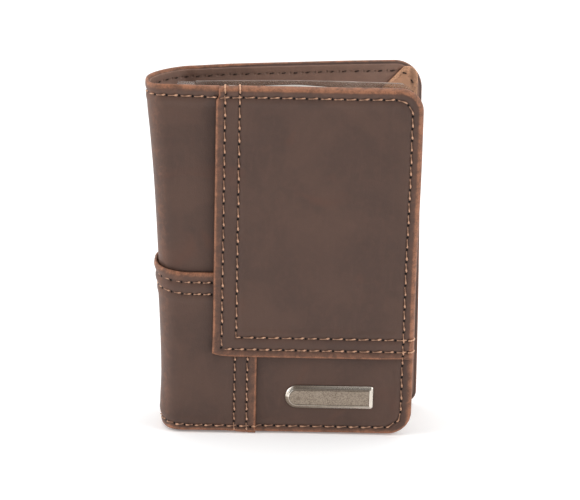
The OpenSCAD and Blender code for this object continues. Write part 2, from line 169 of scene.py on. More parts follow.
front_half = np.zeros((len(GRID_Z), FRONT_STEPS, 2))
back_half = np.zeros((len(GRID_Z), BACK_STEPS, 2))
for row, (z, spine_out) in enumerate(zip(GRID_Z, SPINE_OUT)):
    top = float(smooth(70, 112, z))
    turn_x = -spine_out + 6.2              # where the front face starts to turn
    curve = bezier((turn_x, BASE_Y), (turn_x - 4.0, BASE_Y),
                   (-spine_out, MID_Y - 5.2), (-spine_out, MID_Y), 80)
    front_half[row] = resample(
        np.vstack([[[0.0, BASE_Y], [turn_x * 0.5, BASE_Y]], curve]), FRONT_STEPS)
    straight_y = 12.5 - 1.5 * top          # where the spine starts to turn into the back
    pull = 0.52 - 0.10 * top
    curve = bezier(
        (-spine_out, straight_y),
        (-spine_out, straight_y + pull * (BACK_START[1] - straight_y)),
        BACK_START - pull * (spine_out + BACK_START[0]) * back_direction(z), BACK_START, 90)
    back_half[row] = resample(np.vstack([[[-spine_out, MID_Y]], curve]), BACK_STEPS)


def tangents(half):
    d = np.gradient(half, axis=1)
    return d / np.linalg.norm(d, axis=2, keepdims=True)


front_tangents, back_tangents = tangents(front_half), tangents(back_half)
# one tangent where the two halves meet, at mid-spine
front_tangents[:, -1] = back_tangents[:, 0] = (0.0, 1.0)
front_tangents[:, 0] = (-1.0, 0.0)
back_tangents[:, -1] = back_direction(GRID_Z)


def look_up(table, share, z):
    """Bilinear look-up in a table of rows over height, share running from 0 to 1 along a row."""
    last = table.shape[1] - 1
    a = np.clip(share, 0, 1) * last
    i = np.clip(a.astype(int), 0, last - 1)
    u = (a - i)[..., None]
    b = np.clip((z - GRID_Z[0]) / (GRID_Z[1] - GRID_Z[0]), 0, len(GRID_Z) - 1.0001)
    j = b.astype(int)
    v = (b - j)[..., None]
    return ((table[j, i] * (1 - u) + table[j, i + 1] * u) * (1 - v)
            + (table[j + 1, i] * (1 - u) + table[j + 1, i + 1] * u) * v)


def surface(w, z):
    """Point and outward normal in plan, for wrapped coordinate w and height z."""
    point = np.zeros(w.shape + (2,))
    along = np.zeros(w.shape + (2,))
    m = w >= 0
    point[m] = np.stack([w[m], np.full(m.sum(), BASE_Y)], -1)
    along[m] = (-1.0, 0.0)
    m = (w < 0) & (w >= -MID_SPINE)
    share = -w[m] / MID_SPINE
    point[m] = look_up(front_half, share, z[m])
    along[m] = look_up(front_tangents, share, z[m])
    m = (w < -MID_SPINE) & (w >= -BACK_AT)
    share = (-w[m] - MID_SPINE) / (BACK_AT - MID_SPINE)
    point[m] = look_up(back_half, share, z[m])
    along[m] = look_up(back_tangents, share, z[m])
    m = w < -BACK_AT
    along[m] = back_direction(z[m])
    # the flat back cover is stretched by 0.42 mm in all
    point[m] = BACK_START + ((-BACK_AT - w[m]) * (1 + 0.42 / BACK_L))[:, None] * along[m]
    along = along / np.linalg.norm(along, axis=-1, keepdims=True)
    return point, np.stack([-along[..., 1], along[..., 0]], -1)


def place(w, z, out):
    """Points in metres, at an offset outside the base leather's face."""
    w, z = np.broadcast_arrays(np.asarray(w, float), np.asarray(z, float))
    point, normal = surface(w, z)
    point[..., 0] += 0.50 * smooth(38, 64, w) * smooth(50, 92, z)
    # the soft leather isn't cut dead straight: it sags a little beside the overlay and climbs
    # round the spine
    rise = 0.22 * smooth(70, 114, z) * smooth(-12, -34, w) * (1 - smooth(96, 126, -w))
    rise = rise - ((0.12 + 0.34 * bell(w + 4.0, 8.5)) * smooth(80, 112, z)
                   * smooth(-22, -14, w) * (1 - smooth(40, 60, w)))
    rise = rise + (1.7 * smooth(-9, -24, w) * (1 - smooth(50, 74, -w))
                   * smooth(-1.4, 4.5, z) * (1 - smooth(64, 104, z)))
    rise = rise - (0.40 * smooth(88, 114, z) * smooth(-13, -22, w)
                   * (1 - smooth(46, 66, -w)))
    spot = point + normal * np.asarray(out, float)[..., None]
    return to_metres(spot[..., 0], spot[..., 1], np.broadcast_to(z + rise, spot.shape[:-1]))


# ------------------------------------------------------------------ seams
def rounded(corners, steps=14):
    """Polyline through (x, y, r) points, with round corners of radius r between its ends."""
    points = [corners[0][:2]]
    for before, corner, after in zip(corners, corners[1:], corners[2:]):
        p, a, b = (np.array(c[:2], float) for c in (corner, before, after))
        r = corner[2]
        to_a, to_b = (a - p) / np.linalg.norm(a - p), (b - p) / np.linalg.norm(b - p)
        angle = math.acos(np.clip(to_a @ to_b, -1, 1))
        cut = r / math.tan(angle / 2)
        centre = p + (to_a + to_b) / np.linalg.norm(to_a + to_b) * r / math.sin(angle / 2)
        from_c, to_c = p + to_a * cut - centre, p + to_b * cut - centre
        start = math.atan2(from_c[1], from_c[0])
        sweep = (math.atan2(to_c[1], to_c[0]) - start + math.pi) % (2 * math.pi) - math.pi
        for i in range(steps + 1):
            turn = start + sweep * i / steps
            points.append(centre + r * np.array([math.cos(turn), math.sin(turn)]))
    points.append(corners[-1][:2])
    return np.array(points)


class SeamPath:
    """A row of stitch holes along a line on the leather, slightly uneven."""

    def __init__(self, points, pitch, seed):
        self.points = np.asarray(points, float)
        self.run = run_length(self.points)
        self.length = self.run[-1]
        self.seed = seed
        count = max(1, round(self.length / pitch))
        i = np.arange(count + 1)
        jitter = (hash01(i, seed + 0.37) - 0.5) * 0.30 * ((i > 0) & (i < count))
        self.holes = i * (self.length / count) + jitter
        self.shift = (hash01(i, seed + 3.1) - 0.5) * 0.10

    def at(self, s):
        return np.stack([np.interp(s, self.run, self.points[:, i]) for i in (0, 1)], -1)

    def across(self, s):
        """Unit vector across the seam."""
        s = np.clip(s, 0.06, self.length - 0.06)
        t = self.at(s + 0.05) - self.at(s - 0.05)
        t = t / np.maximum(np.linalg.norm(t, axis=-1, keepdims=True), 1e-9)
        return np.stack([-t[..., 1], t[..., 0]], -1)


SEAM_TOP, SEAM_LOW, SEAM_IN = COVER_H - 3.5, 1.70, 3.45
front_x = FRONT_W - SEAM_IN
back_x = BACK_END - SEAM_IN
# front rows, in (w, z)
EDGE = SeamPath(rounded([
    (-MID_SPINE, SEAM_TOP, 0), (front_x, SEAM_TOP, 5.2), (front_x, 6.6, 2.0),
    (59.9, 4.0, 1.8), (56.2, SEAM_LOW, 3.5), (-MID_SPINE, SEAM_LOW, 0)]), 3.95, 1)


def overlay_row(x, up, pitch, seed):
    """A row down the overlay's left edge and along its lower edge."""
    return SeamPath(rounded([(x, COVER_H - 2.2, 0), (x, OVERLAY_Z + up, 0.25),
                             (FRONT_W - 1.9, OVERLAY_Z + up, 0)]), pitch, seed)


OVERLAY_OUTER = overlay_row(2.8, 2.1, 4.0, 2)
OVERLAY_INNER = overlay_row(7.35, 6.1, 4.1, 3)
OUTER_Z, INNER_Z = WRAP_Z - 3.7, WRAP_Z - 7.6
WRAP_OUTER = SeamPath([(-MID_SPINE, OUTER_Z), (-0.6, OUTER_Z)], 3.9, 4)
WRAP_INNER = SeamPath([(-MID_SPINE, INNER_Z), (-0.6, INNER_Z)], 4.0, 5)
WRAP_END_OUTER, WRAP_END_INNER = (
    SeamPath([(WRAP_X - inset, OVERLAY_Z + 0.9), (WRAP_X - inset, -0.2)], pitch, seed)
    for inset, pitch, seed in ((3.0, 3.2, 6), (7.0, 3.3, 7)))
# back rows, in (-w, z)
BACK_EDGE = SeamPath(rounded([
    (MID_SPINE, SEAM_TOP + 0.2, 0), (back_x, SEAM_TOP + 0.2, 5.4), (back_x, SEAM_LOW, 2.6),
    (MID_SPINE, SEAM_LOW, 0)]), 3.95, 8)
BACK_WRAP_OUTER, BACK_WRAP_INNER = (
    SeamPath(rounded([(MID_SPINE, z, 0), (BACK_AT + run, z, 0.25), (BACK_AT + run, -0.2, 0)]),
             pitch, seed)
    for z, run, pitch, seed in ((OUTER_Z, 17.6, 3.9, 9), (INNER_Z, 13.6, 4.0, 10)))


class SeamMap:
    """Nearest seam to a point: distance across it, place along it counted in stitches, and
    the distance to the seam's nearest sample."""

    def __init__(self, *paths):
        runs = [(p, np.arange(0, p.length, 0.15)) for p in paths]
        self.points = np.vstack([p.at(s) for p, s in runs])
        self.normals = np.vstack([p.across(s) for p, s in runs])
        self.counts = np.concatenate(
            [np.interp(s, p.holes, np.arange(len(p.holes))) for p, s in runs])
        self.tree = KDTree(len(self.points))
        for i, p in enumerate(self.points):
            self.tree.insert((p[0], p[1], 0), i)
        self.tree.balance()

    def __call__(self, k, z):
        found = (self.tree.find((a, b, 0))[1] for a, b in zip(k.ravel(), z.ravel()))
        i = np.fromiter(found, int, k.size).reshape(k.shape)
        v = np.stack([k, z], -1) - self.points[i]
        n = self.normals[i]
        t = np.stack([n[..., 1], -n[..., 0]], -1)
        return ((v * n).sum(-1), self.counts[i] + (v * t).sum(-1) / STITCH,
                np.linalg.norm(v, axis=-1))


EDGE_MAP = SeamMap(EDGE)
OVERLAY_MAP = SeamMap(EDGE, OVERLAY_OUTER, OVERLAY_INNER)
WRAP_MAP = SeamMap(EDGE, WRAP_OUTER, WRAP_INNER, WRAP_END_OUTER, WRAP_END_INNER)
BACK_MAP = SeamMap(BACK_EDGE)
BACK_WRAP_MAP = SeamMap(BACK_EDGE, BACK_WRAP_OUTER, BACK_WRAP_INNER)


def waves(w, z, seed, height):
    return height * (
        np.sin(w * 0.11 + 1.3 + seed) * np.sin(z * 0.083 + 0.4 * seed + 0.7)
        + 0.5 * np.sin(w * 0.27 + z * 0.13 + 2.1 * seed)
        + 0.35 * np.sin(z * 0.31 - w * 0.19 + 4 * seed))


# ------------------------------------------------------------------ sheets of leather
def lines(a, b, step):
    return np.linspace(a, b, max(2, int(round((b - a) / step)) + 1))


def mesh_object(name, verts, faces, attrs):
    mesh = bpy.data.meshes.new(name)
    mesh.from_pydata([tuple(v) for v in verts], [], faces)
    for key, values in attrs.items():
        layer = mesh.attributes.new(key, "FLOAT", "POINT")
        layer.data.foreach_set("value", np.asarray(values, np.float32))
    mesh.validate(clean_customdata=False)
    mesh.update()
    mesh.polygons.foreach_set("use_smooth", np.ones(len(mesh.polygons), bool))
    ob = bpy.data.objects.new(name, mesh)
    bpy.context.scene.collection.objects.link(ob)
    return ob


def depth_inside(k, z, k0, k1, z0, z1, turn, corners):
    """Distance inside the outline, measured from the sides that turn over."""
    gaps = [np.full(k.shape, 50.0)]
    for turned, gap in ((turn[0], k - k0), (turn[2], z - z0), (turn[3], z1 - z)):
        if turned:
            gaps.append(gap)
    if turn[1]:
        gap = k1 - k
        for r, centre, up in ((corners[1], z1 - corners[1], 1),
                              (corners[0], z0 + corners[0], -1)):
            at_corner = (k > k1 - r) & ((z - centre) * up > 0)
            gap = np.where(at_corner, r - np.hypot(k - (k1 - r), z - centre), gap)
        gaps.append(gap)
    return np.minimum.reduce(gaps)


def sheet(name, k0, k1, z0, z1, out, thick, sgn=1, side=1, step=0.36, turn=(0, 0.5, 0.5, 0.5),
          corners=(0, 0), seams=None, groove=0.26, puff=0.20, hole=0.25, extra=None, shade=None,
          wear_and_highlight=1.0, band=2.6, wear_and_highlight_map=None, crest=None, uneven=0.08, seed=0.0, rings=10,
          warp=None, placer=place, flat_inside=False):
    """A closed piece of leather or film.

    k runs from the spine side to the far side and w = sgn * k. out is the offset of the
    visible face, which looks outward for side 1 and inward for -1.
    turn: for the near, far, lower and upper edges, how far the rounded edge bulges sideways,
    as a share of the thickness; 0 leaves a straight cut.
    corners: radii of the far lower and far upper corner.
    groove, puff, hole: depth of the seam's groove, swelling beside it, depth of its holes.
    """
    out, thick = as_field(out), as_field(thick)
    mid_k, mid_z = (k0 + k1) / 2, (z0 + z1) / 2
    near, far, low, high = (
        float(thick(np.array(k), np.array(z))) * share
        for k, z, share in zip((k0, k1, mid_k, mid_k), (mid_z, mid_z, z0, z1), turn))
    ka, kb, za, zb = k0 + near, k1 - far, z0 + low, z1 - high
    r_low, r_high = (max(r - t, 0.3) if r else 0 for r, t in zip(corners, (low, high)))

    # the grid's lines, closer together round the corners
    k_lines = lines(ka, kb, step)
    z_lines = lines(za, zb, step)
    quarter = np.sin(np.linspace(0, math.pi / 2, 16))
    if r_high:
        z_lines = np.r_[z_lines[z_lines < zb - r_high - 0.05], zb - r_high + r_high * quarter]
    if r_low:
        z_lines = np.r_[(za + r_low - r_low * quarter)[::-1],
                        z_lines[z_lines > za + r_low + 0.05]]
    z_lines = np.unique(np.round(z_lines, 5))
    rows, cols = len(z_lines), len(k_lines)
    far_k = np.full(rows, kb)
    far_dir = np.tile([1.0, 0.0], (rows, 1))
    on_arc = np.zeros(rows, bool)
    for r, centre, up in ((r_high, zb - r_high, 1), (r_low, za + r_low, -1)):
        rise = (z_lines - centre) * up
        arc = (rise > 0) & (r > 0)
        q = np.minimum(1.0, rise[arc] / r)
        c = np.sqrt(np.maximum(0, 1 - q * q))
        far_k[arc] = kb - r + r * c
        far_dir[arc] = np.stack([c, up * q], -1)
        on_arc |= arc
    k, z = np.meshgrid(k_lines, z_lines)
    bend = kb - 14                         # only the last 14 mm follow the corners
    k = np.where(k > bend, bend + (k - bend) * (far_k[:, None] - bend) / (kb - bend), k)

    # height, painted shade, and wear and painted highlight of the visible face
    depth = depth_inside(k, z, k0, k1, z0, z1, turn, corners)
    height = out(k, z) + (side * waves(k * sgn, z, seed, uneven) * smooth(1.0, 9.0, depth)
                          * smooth(0.0, 8.0, np.abs(k * sgn + MID_SPINE)))
    dark, across, count = np.zeros(k.shape), np.full(k.shape, 9.0), np.zeros(k.shape)
    if seams is not None:
        across, count, dist = seams(k, z)
        across = np.where(dist < 3.5, np.abs(across), 9.0)
        along = np.abs(count - np.round(count)) * STITCH
        height += side * (puff * bell(dist - 1.8, 1.0) - groove * bell(dist, 0.62)
                          - hole * bell(np.hypot(across, along), 0.36))
        # painted shade along the seam's groove
        dark = 0.10 * bell(dist, 0.5)
    if extra is not None:
        height = height + extra(k, z)
    if shade is not None:
        dark = dark + shade(k, z)
    rubbed_and_highlight = wear_and_highlight * fade(depth - 0.2, band, 1.6) if wear_and_highlight_map is None else wear_and_highlight_map(k, z)

    verts, faces = [], []
    attrs = {"wear_and_highlight": [], "dark": [], "sd": [], "sq": []}
    flip = sgn * side < 0

    def put(k, z, h):
        if warp is not None:
            k, z = warp(k, z)
        return placer(k * sgn, z, h)

    def add(points, *values):
        """Add vertices with their wear and painted highlight, painted shade (dark), sd and sq; return the
        first one's number.
        """
        start = len(verts)
        verts.extend(points)
        for held, value in zip(attrs.values(), values):
            held.extend(np.broadcast_to(value, len(points)))
        return start

    def quad(p, q, r, s):
        faces.append(tuple(map(int, (p, s, r, q) if flip else (p, q, r, s))))

    add(put(k, z, height).reshape(-1, 3), rubbed_and_highlight.ravel(), dark.ravel(), across.ravel(),
        count.ravel())
    index = np.arange(rows * cols).reshape(rows, cols)
    for j in range(rows - 1):
        for i in range(cols - 1):
            quad(index[j, i], index[j, i + 1], index[j + 1, i + 1], index[j + 1, i])

    # border loop, anticlockwise in (k, z)
    row, col = np.array(
        [(0, i) for i in range(cols)] + [(j, cols - 1) for j in range(1, rows)]
        + [(rows - 1, i) for i in range(cols - 2, -1, -1)]
        + [(j, 0) for j in range(rows - 2, 0, -1)]).T
    size = len(row)
    rim_k, rim_z, rim_h, rim_wear_and_highlight = k[row, col], z[row, col], height[row, col], rubbed_and_highlight[row, col]
    way = np.zeros((size, 2))
    if turn[2]:
        way[row == 0, 1] -= 1
    if turn[3]:
        way[row == rows - 1, 1] += 1
    if turn[0]:
        way[col == 0, 0] -= 1
    at_far = col == cols - 1
    if turn[1]:
        way[at_far, 0] += 1
        arc = at_far & on_arc[row]
        way[arc] = far_dir[row[arc]]
    cut = ~way.any(axis=1)
    way = way * np.stack([np.where(at_far, far, near),
                          np.where(row > rows // 2, high, low)], -1)
    previous = index[row, col]
    # walls at cut edges get their own vertices, so that the face's shading isn't rounded there
    corner = ((col == 0) | at_far) & ((row == 0) | (row == rows - 1))
    own = np.flatnonzero(cut | (~way.all(axis=1) & corner))
    start = add(put(rim_k, rim_z, rim_h)[own], rim_wear_and_highlight[own], 0.0, 9.0, 0.0)
    previous[own] = start + np.arange(len(own))
    rim_thick = thick(rim_k, rim_z)
    for ring in range(1, rings + 1):
        phase = math.pi * ring / rings
        points = put(rim_k + way[:, 0] * math.sin(phase), rim_z + way[:, 1] * math.sin(phase),
                     rim_h - side * rim_thick / 2 * (1 - math.cos(phase)))
        if crest is None:
            edge = wear_and_highlight * (0.84 if phase < 2.0 else max(0.15, 0.84 - (phase - 2.0) * 0.8))
            edge = np.maximum(rim_wear_and_highlight, edge)
        else:
            edge = wear_and_highlight * (0.08 + 0.84 * fade(phase - crest(rim_k), 0.42, 2))
        start = add(points, np.where(cut, rim_wear_and_highlight, edge), 0.0, 9.0, 0.0)
        current = np.arange(start, start + size)
        for i in range(size):
            j = (i + 1) % size
            quad(previous[j], previous[i], current[i], current[j])
        previous = current
    if flat_inside:
        faces.append(tuple(int(v) for v in (previous if flip else previous[::-1])))
        return mesh_object(name, verts, faces, attrs)
    # inner side, on the same grid
    inner = put(k, z, out(k, z) - side * thick(k, z))[1:-1, 1:-1].reshape(-1, 3)
    start = add(inner, 0.0, 0.0, 9.0, 0.0)
    index[row, col] = previous
    index[1:-1, 1:-1] = start + np.arange(len(inner)).reshape(rows - 2, cols - 2)
    for j in range(rows - 1):
        for i in range(cols - 1):
            quad(index[j, i], index[j + 1, i], index[j + 1, i + 1], index[j, i + 1])
    return mesh_object(name, verts, faces, attrs)


def join(name, obs):
    verts, faces, attrs = [], [], {}
    for ob in obs:
        start = len(verts)
        verts += [tuple(v.co) for v in ob.data.vertices]
        faces += [tuple(start + i for i in p.vertices) for p in ob.data.polygons]
        for key in ob.data.attributes.keys():
            layer = ob.data.attributes[key]
            if layer.domain == "POINT" and layer.data_type == "FLOAT":
                attrs.setdefault(key, []).extend(d.value for d in layer.data)
        bpy.data.objects.remove(ob)
    return mesh_object(name, verts, faces, attrs)


# ------------------------------------------------------------------ stitches
PLIES, TUBE_SIDES = 2, 6
STITCH_POINTS, OVER_POINTS = 12, 20
STITCH_GAP = 0.30                          # left free at each end of a stitch
SLANT = 0.34


def tube(centre, normal, radius, lump, dark, turns, phase, verts, faces, darks):
    """A twisted thread along the centre points (mm). The normals point off the leather."""
    count = len(centre)
    along = np.gradient(centre, axis=0)
    along /= np.linalg.norm(along, axis=1, keepdims=True)
    across = np.cross(normal, along)
    across /= np.linalg.norm(across, axis=1, keepdims=True)
    normal = np.cross(along, across)
    t = np.linspace(0, 1, count)
    for ply in range(PLIES):
        twist = 2 * math.pi * (t * turns + ply / PLIES) + phase
        reach = radius * 0.66 * lump
        axis = (centre + across * (reach * np.cos(twist))[:, None]
                + normal * (reach * np.sin(twist))[:, None])
        start = len(verts)
        for i in range(count):
            r = radius * lump[i]
            for j in range(TUBE_SIDES):
                a = 2 * math.pi * j / TUBE_SIDES
                verts.append((axis[i] + across[i] * r * math.cos(a)
                              + normal[i] * r * math.sin(a)) * MM)
                darks.append(float(dark[i]))
        for i in range(count - 1):
            a, b = start + i * TUBE_SIDES, start + (i + 1) * TUBE_SIDES
            for j in range(TUBE_SIDES):
                following = (j + 1) % TUBE_SIDES
                faces.append((a + j, a + following, b + following, b + j))
        faces.append(tuple(start + j for j in reversed(range(TUBE_SIDES))))
        faces.append(tuple(start + (count - 1) * TUBE_SIDES + j for j in range(TUBE_SIDES)))


def stitches(path, out, sgn, inner, span, over):
    """A row of separate twisted stitches along a path, where k lies within span.

    out is the offset of the leather face. over lists the threads that pass over a rim."""
    out = as_field(out)
    side, radius, lift = (-1, 0.175, 0.22) if inner else (1, 0.165, 0.26)
    verts, faces, darks = [], [], []
    t = np.linspace(0, 1, STITCH_POINTS)
    arch = np.sin(math.pi * t) ** 0.5
    blob, tail = bell(t - 0.80, 0.17), bell(t - 0.14, 0.12)
    for i in range(len(path.holes) - 1):
        start, end = path.holes[i] + STITCH_GAP, path.holes[i + 1] - STITCH_GAP
        if inner:                          # only the middle of each stitch shows inside
            start, end = start + 0.5, end - 0.9
        s = start + (end - start) * t
        shift = path.shift[i] * (1 - t) + path.shift[i + 1] * t
        swing = SLANT * (0.75 + 0.5 * hash01(i, path.seed)) * (t - 0.45)
        line = path.at(s) + path.across(s) * (shift + swing)[:, None]
        if not span[0] <= line[STITCH_POINTS // 2][0] <= span[1]:
            continue
        w, z = line[:, 0] * sgn, line[:, 1]
        rise = (arch * (0.62 + 0.55 * smooth(0.1, 0.8, t))
                * (0.85 + 0.3 * hash01(i, path.seed + 9)))
        up = out(w, z) + side * (lift * rise - 0.50 * (1 - arch) - 0.16)
        centre = place(w, z, up) / MM
        normal = place(w, z, up + side * 1.0) / MM - centre
        bold = 0.75 + 0.5 * hash01(i, path.seed + 11)
        lump = (0.50 + 0.72 * bold * blob + 0.26 * tail) * (0.70 + 0.30 * arch)
        if inner:
            lump = 1.05 * arch
        # painted highlight on each stitch's blob and near its tail; painted shade towards its ends, where it
        # goes into the holes
        lit = np.maximum(np.minimum(bold * blob * 1.3, 1.0), 0.8 * tail)
        dark = 0.50 * (1.0 - arch) + 0.78 * (1 - lit)
        tube(centre, normal, radius, lump, dark, 1.1, 6.28 * hash01(i, path.seed + 5),
             verts, faces, darks)
    for centre, normal, seed in over:
        arch = np.sin(math.pi * np.linspace(0, 1, OVER_POINTS)) ** 0.35
        # painted shade at both ends of a thread over the rim
        tube(centre, normal, radius, 0.72 + 0.35 * arch, np.clip(0.9 - arch, 0, 1), 2.6,
             6.28 * hash01(seed, 2.0), verts, faces, darks)
    return mesh_object("row", verts, faces, {"dark": darks})


def over_rim(rim, reach, line, outward, seed):
    """Thread over the overlay's rolled rim, starting at reach inside it.

    line(t, position) gives w and z; outward is the direction in which the rim faces."""
    t = np.linspace(0, 1, OVER_POINTS)
    r = OVERLAY_RIM / 2
    run = reach - r
    length = run * 2 + math.pi * (r + 0.15)
    d = t * length
    turn = np.clip((d - run) / (r + 0.15), 0, math.pi)
    arc = (d >= run) & (d <= length - run)
    position = np.where(arc, rim - r + (r + 0.12) * np.sin(turn),
                        rim - reach + np.minimum(d, length - d))
    out = np.where(arc, OVERLAY_OUT - r + (r + 0.12) * np.cos(turn),
                   np.where(d < run, OVERLAY_OUT + 0.10, OVERLAY_OUT - OVERLAY_RIM - 0.10))
    normal = np.outer(np.sin(turn), outward) + np.outer(-np.cos(turn), (0, 1, 0))
    return place(*line(t, position), out) / MM, normal, seed


def over_top(k, seed):
    return over_rim(COVER_H, 2.2, lambda t, z: (k + 0.10 * np.sin(t * 5.0 + k), z),
                    (0, 0, 1), seed)


def over_side(z, seed):
    return over_rim(FRONT_W, 2.0, lambda t, k: (k, z + 0.3 * t), (1, 0, 0), seed)


# ------------------------------------------------------------------ materials
def linear(colour):
    """Linear RGBA from an sRGB colour of 0 to 255."""
    c = [v / 255 for v in colour]
    return tuple(v / 12.92 if v <= 0.04045 else ((v + 0.055) / 1.055) ** 2.4 for v in c) + (1.0,)


def tint(colour, gain):
    return tuple(v * gain for v in colour)


class Nodes:
    """Short names for building a node material. Textures are measured in millimetres, and a
    colour of three numbers is sRGB."""

    def __init__(self, name):
        self.material = bpy.data.materials.new(name)
        self.material.use_nodes = True
        self.tree = self.material.node_tree
        self.bsdf = self.tree.nodes["Principled BSDF"]
        self.out = self.tree.nodes["Material Output"]
        coords = self.tree.nodes.new("ShaderNodeTexCoord").outputs["Object"]
        self.mm = self.scaled(coords, (1000, 1000, 1000))

    def scaled(self, vector, scale):
        n = self.tree.nodes.new("ShaderNodeMapping")
        n.inputs["Scale"].default_value = scale
        self.put(n, "Vector", vector)
        return n.outputs[0]

    def put(self, node, key, v):
        if isinstance(v, bpy.types.NodeSocket):
            self.tree.links.new(v, node.inputs[key])
            return
        if isinstance(v, tuple) and len(v) == 3:
            v = linear(v)
        node.inputs[key].default_value = v

    def noise(self, scale, detail, rough, stretch=None, dist=0.0):
        n = self.tree.nodes.new("ShaderNodeTexNoise")
        self.put(n, "Vector", self.scaled(self.mm, stretch) if stretch else self.mm)
        self.put(n, "Scale", scale)
        self.put(n, "Detail", detail)
        self.put(n, "Roughness", rough)
        self.put(n, "Distortion", dist)
        return n.outputs[0]

    def cells(self, scale, feature):
        n = self.tree.nodes.new("ShaderNodeTexVoronoi")
        n.feature = feature
        self.put(n, "Vector", self.mm)
        self.put(n, "Scale", scale)
        return n.outputs["Distance"]

    def attr(self, name):
        n = self.tree.nodes.new("ShaderNodeAttribute")
        n.attribute_name = name
        return n.outputs["Fac"]

    def math(self, op, a, b=0.0, clamp=False):
        n = self.tree.nodes.new("ShaderNodeMath")
        n.operation = op
        n.use_clamp = clamp
        for i, v in enumerate((a, b, 0.0)):
            self.put(n, i, v)
        return n.outputs[0]

    def times(self, a, b, clamp=False):
        return self.math("MULTIPLY", a, b, clamp)

    def plus(self, a, b, clamp=False):
        return self.math("ADD", a, b, clamp)

    def minus(self, a, b):
        return self.math("SUBTRACT", a, b)

    def span(self, v, low, high, to_low=0.0, to_high=1.0):
        """Smooth step from to_low to to_high as v goes from low to high."""
        n = self.tree.nodes.new("ShaderNodeMapRange")
        n.interpolation_type = "SMOOTHSTEP"
        self.put(n, "Value", v)
        self.put(n, "From Min", low)
        self.put(n, "From Max", high)
        self.put(n, "To Min", to_low)
        self.put(n, "To Max", to_high)
        return n.outputs[0]

    def mix(self, amount, a, b):
        n = self.tree.nodes.new("ShaderNodeMix")
        n.data_type = "RGBA"
        # sockets 0, 6 and 7 are the factor and the two colours; output 2 is the colour
        for key, v in ((0, amount), (6, a), (7, b)):
            self.put(n, key, v)
        return n.outputs[2]

    def layer(self, under, mask, low, high, amount, colour):
        """Lay a colour over another, where a mask rises from low to high."""
        return self.mix(self.times(self.span(mask, low, high), amount), under, colour)

    def bump(self, height, mm, strength, normal=None):
        n = self.tree.nodes.new("ShaderNodeBump")
        self.put(n, "Strength", strength)
        self.put(n, "Distance", mm * MM)
        self.put(n, "Height", height)
        if normal is not None:
            self.put(n, "Normal", normal)
        return n.outputs[0]

    def set(self, **inputs):
        for key, v in inputs.items():
            self.put(self.bsdf, key.replace("_", " "), v)
        return self.material


def leather(name, base, deep, tan, red, worn, rough, grain, pits):
    """Grained leather in base and deep, rubbed to tan at worn edges and painted tan as a highlight on the
    round of the spine, with reddish patches.

    worn scales the rubbing, grain the bumps and pits the painted shade in the stitch holes."""
    n = Nodes(name)
    cloud = n.noise(scale=0.050, detail=3, rough=0.6, dist=0.6)
    mid = n.noise(scale=0.42, detail=4, rough=0.62, dist=0.4)
    fine = n.noise(scale=2.6, detail=4, rough=0.65)
    streak = n.noise(scale=0.5, detail=3, rough=0.6, stretch=(1.0, 1.0, 0.22), dist=0.8)
    patch = n.noise(scale=0.045, detail=2, rough=0.5, dist=1.2)
    c = n.mix(n.span(cloud, low=0.35, high=0.68), deep, base)
    for mask, low, high, amount, colour in (
            (mid, 0.42, 0.72, 0.22, tint(base, 1.12)),
            (streak, 0.50, 0.75, 0.22, tint(base, 1.10)),
            (patch, 0.58, 0.75, 0.45, red),
            (fine, 0.30, 0.75, 0.16, tint(base, 0.84))):
        c = n.layer(c, mask, low, high, amount, colour)
    # rubbed edges and the painted highlight on the round of the spine, broken up by the noise
    wear_and_highlight = n.attr("wear_and_highlight")
    broken = n.times(n.minus(mid, 0.5), n.times(wear_and_highlight, 1.8))
    edge = n.times(n.plus(wear_and_highlight, broken), worn, clamp=True)
    mottle = n.plus(n.times(fine, 0.5), n.times(mid, 0.5))
    rubbed_and_highlight = n.mix(n.span(mottle, low=0.38, high=0.62), tint(tan, 0.84), tint(tan, 1.12))
    c = n.mix(n.span(edge, low=0.06, high=1.0), c, rubbed_and_highlight)
    # painted shade: the dark attribute darkens the leather with painted shadow beside raised edges and in
    # the seam grooves
    c = n.mix(n.times(n.attr("dark"), 0.90, clamp=True), c, (30, 20, 16))
    # painted shade in the stitch holes, from the distance across the seam and along it
    count = n.attr("sq")
    off_hole = n.math("ABSOLUTE", n.minus(count, n.math("ROUND", count)))
    along = n.times(off_hole, STITCH)
    across = n.attr("sd")
    dist = n.math("SQRT", n.plus(n.times(across, across), n.times(along, along)))
    hole = n.span(dist, low=0.26, high=0.48, to_low=1.0, to_high=0.0)
    c = n.mix(n.times(hole, pits), c, (16, 10, 8))
    # grain
    creases = n.span(n.cells(scale=1.25, feature="DISTANCE_TO_EDGE"), low=0.0, high=0.16)
    height = n.plus(n.times(creases, 0.5), n.times(fine, 0.9))
    height = n.plus(height, n.times(n.cells(scale=2.7, feature="F1"), 0.45))
    normal = n.bump(height, mm=0.07 * grain, strength=0.50)
    normal = n.bump(mid, mm=0.40 * grain, strength=0.30, normal=normal)
    normal = n.bump(streak, mm=0.35 * grain, strength=0.25, normal=normal)
    normal = n.bump(n.times(hole, -1.0), mm=0.5, strength=0.8, normal=normal)
    r = n.plus(rough, n.times(n.minus(mid, 0.5), 0.22))
    r = n.minus(r, n.times(edge, 0.05))
    return n.set(Base_Color=c, Roughness=r, Normal=normal, Specular_IOR_Level=0.30)


def thread_material(name, low, high, end, spec):
    """Waxed thread between two colours, darkened towards a third by the dark attribute: painted shade at its
    ends and away from the painted highlight on each stitch.
    """
    n = Nodes(name)
    fibre = n.noise(scale=7.0, detail=4, rough=0.7, stretch=(1, 1, 0.4))
    slow = n.noise(scale=0.30, detail=2, rough=0.5)
    c = n.mix(n.span(fibre, low=0.3, high=0.7), low, high)
    c = n.layer(c, slow, low=0.4, high=0.7, amount=0.35, colour=tint(low, 0.90))
    c = n.mix(n.times(n.attr("dark"), 0.80, clamp=True), c, end)
    return n.set(Base_Color=c, Roughness=0.50, Normal=n.bump(fibre, mm=0.05, strength=0.6),
                 Specular_IOR_Level=spec, Sheen_Weight=0.15 * spec)


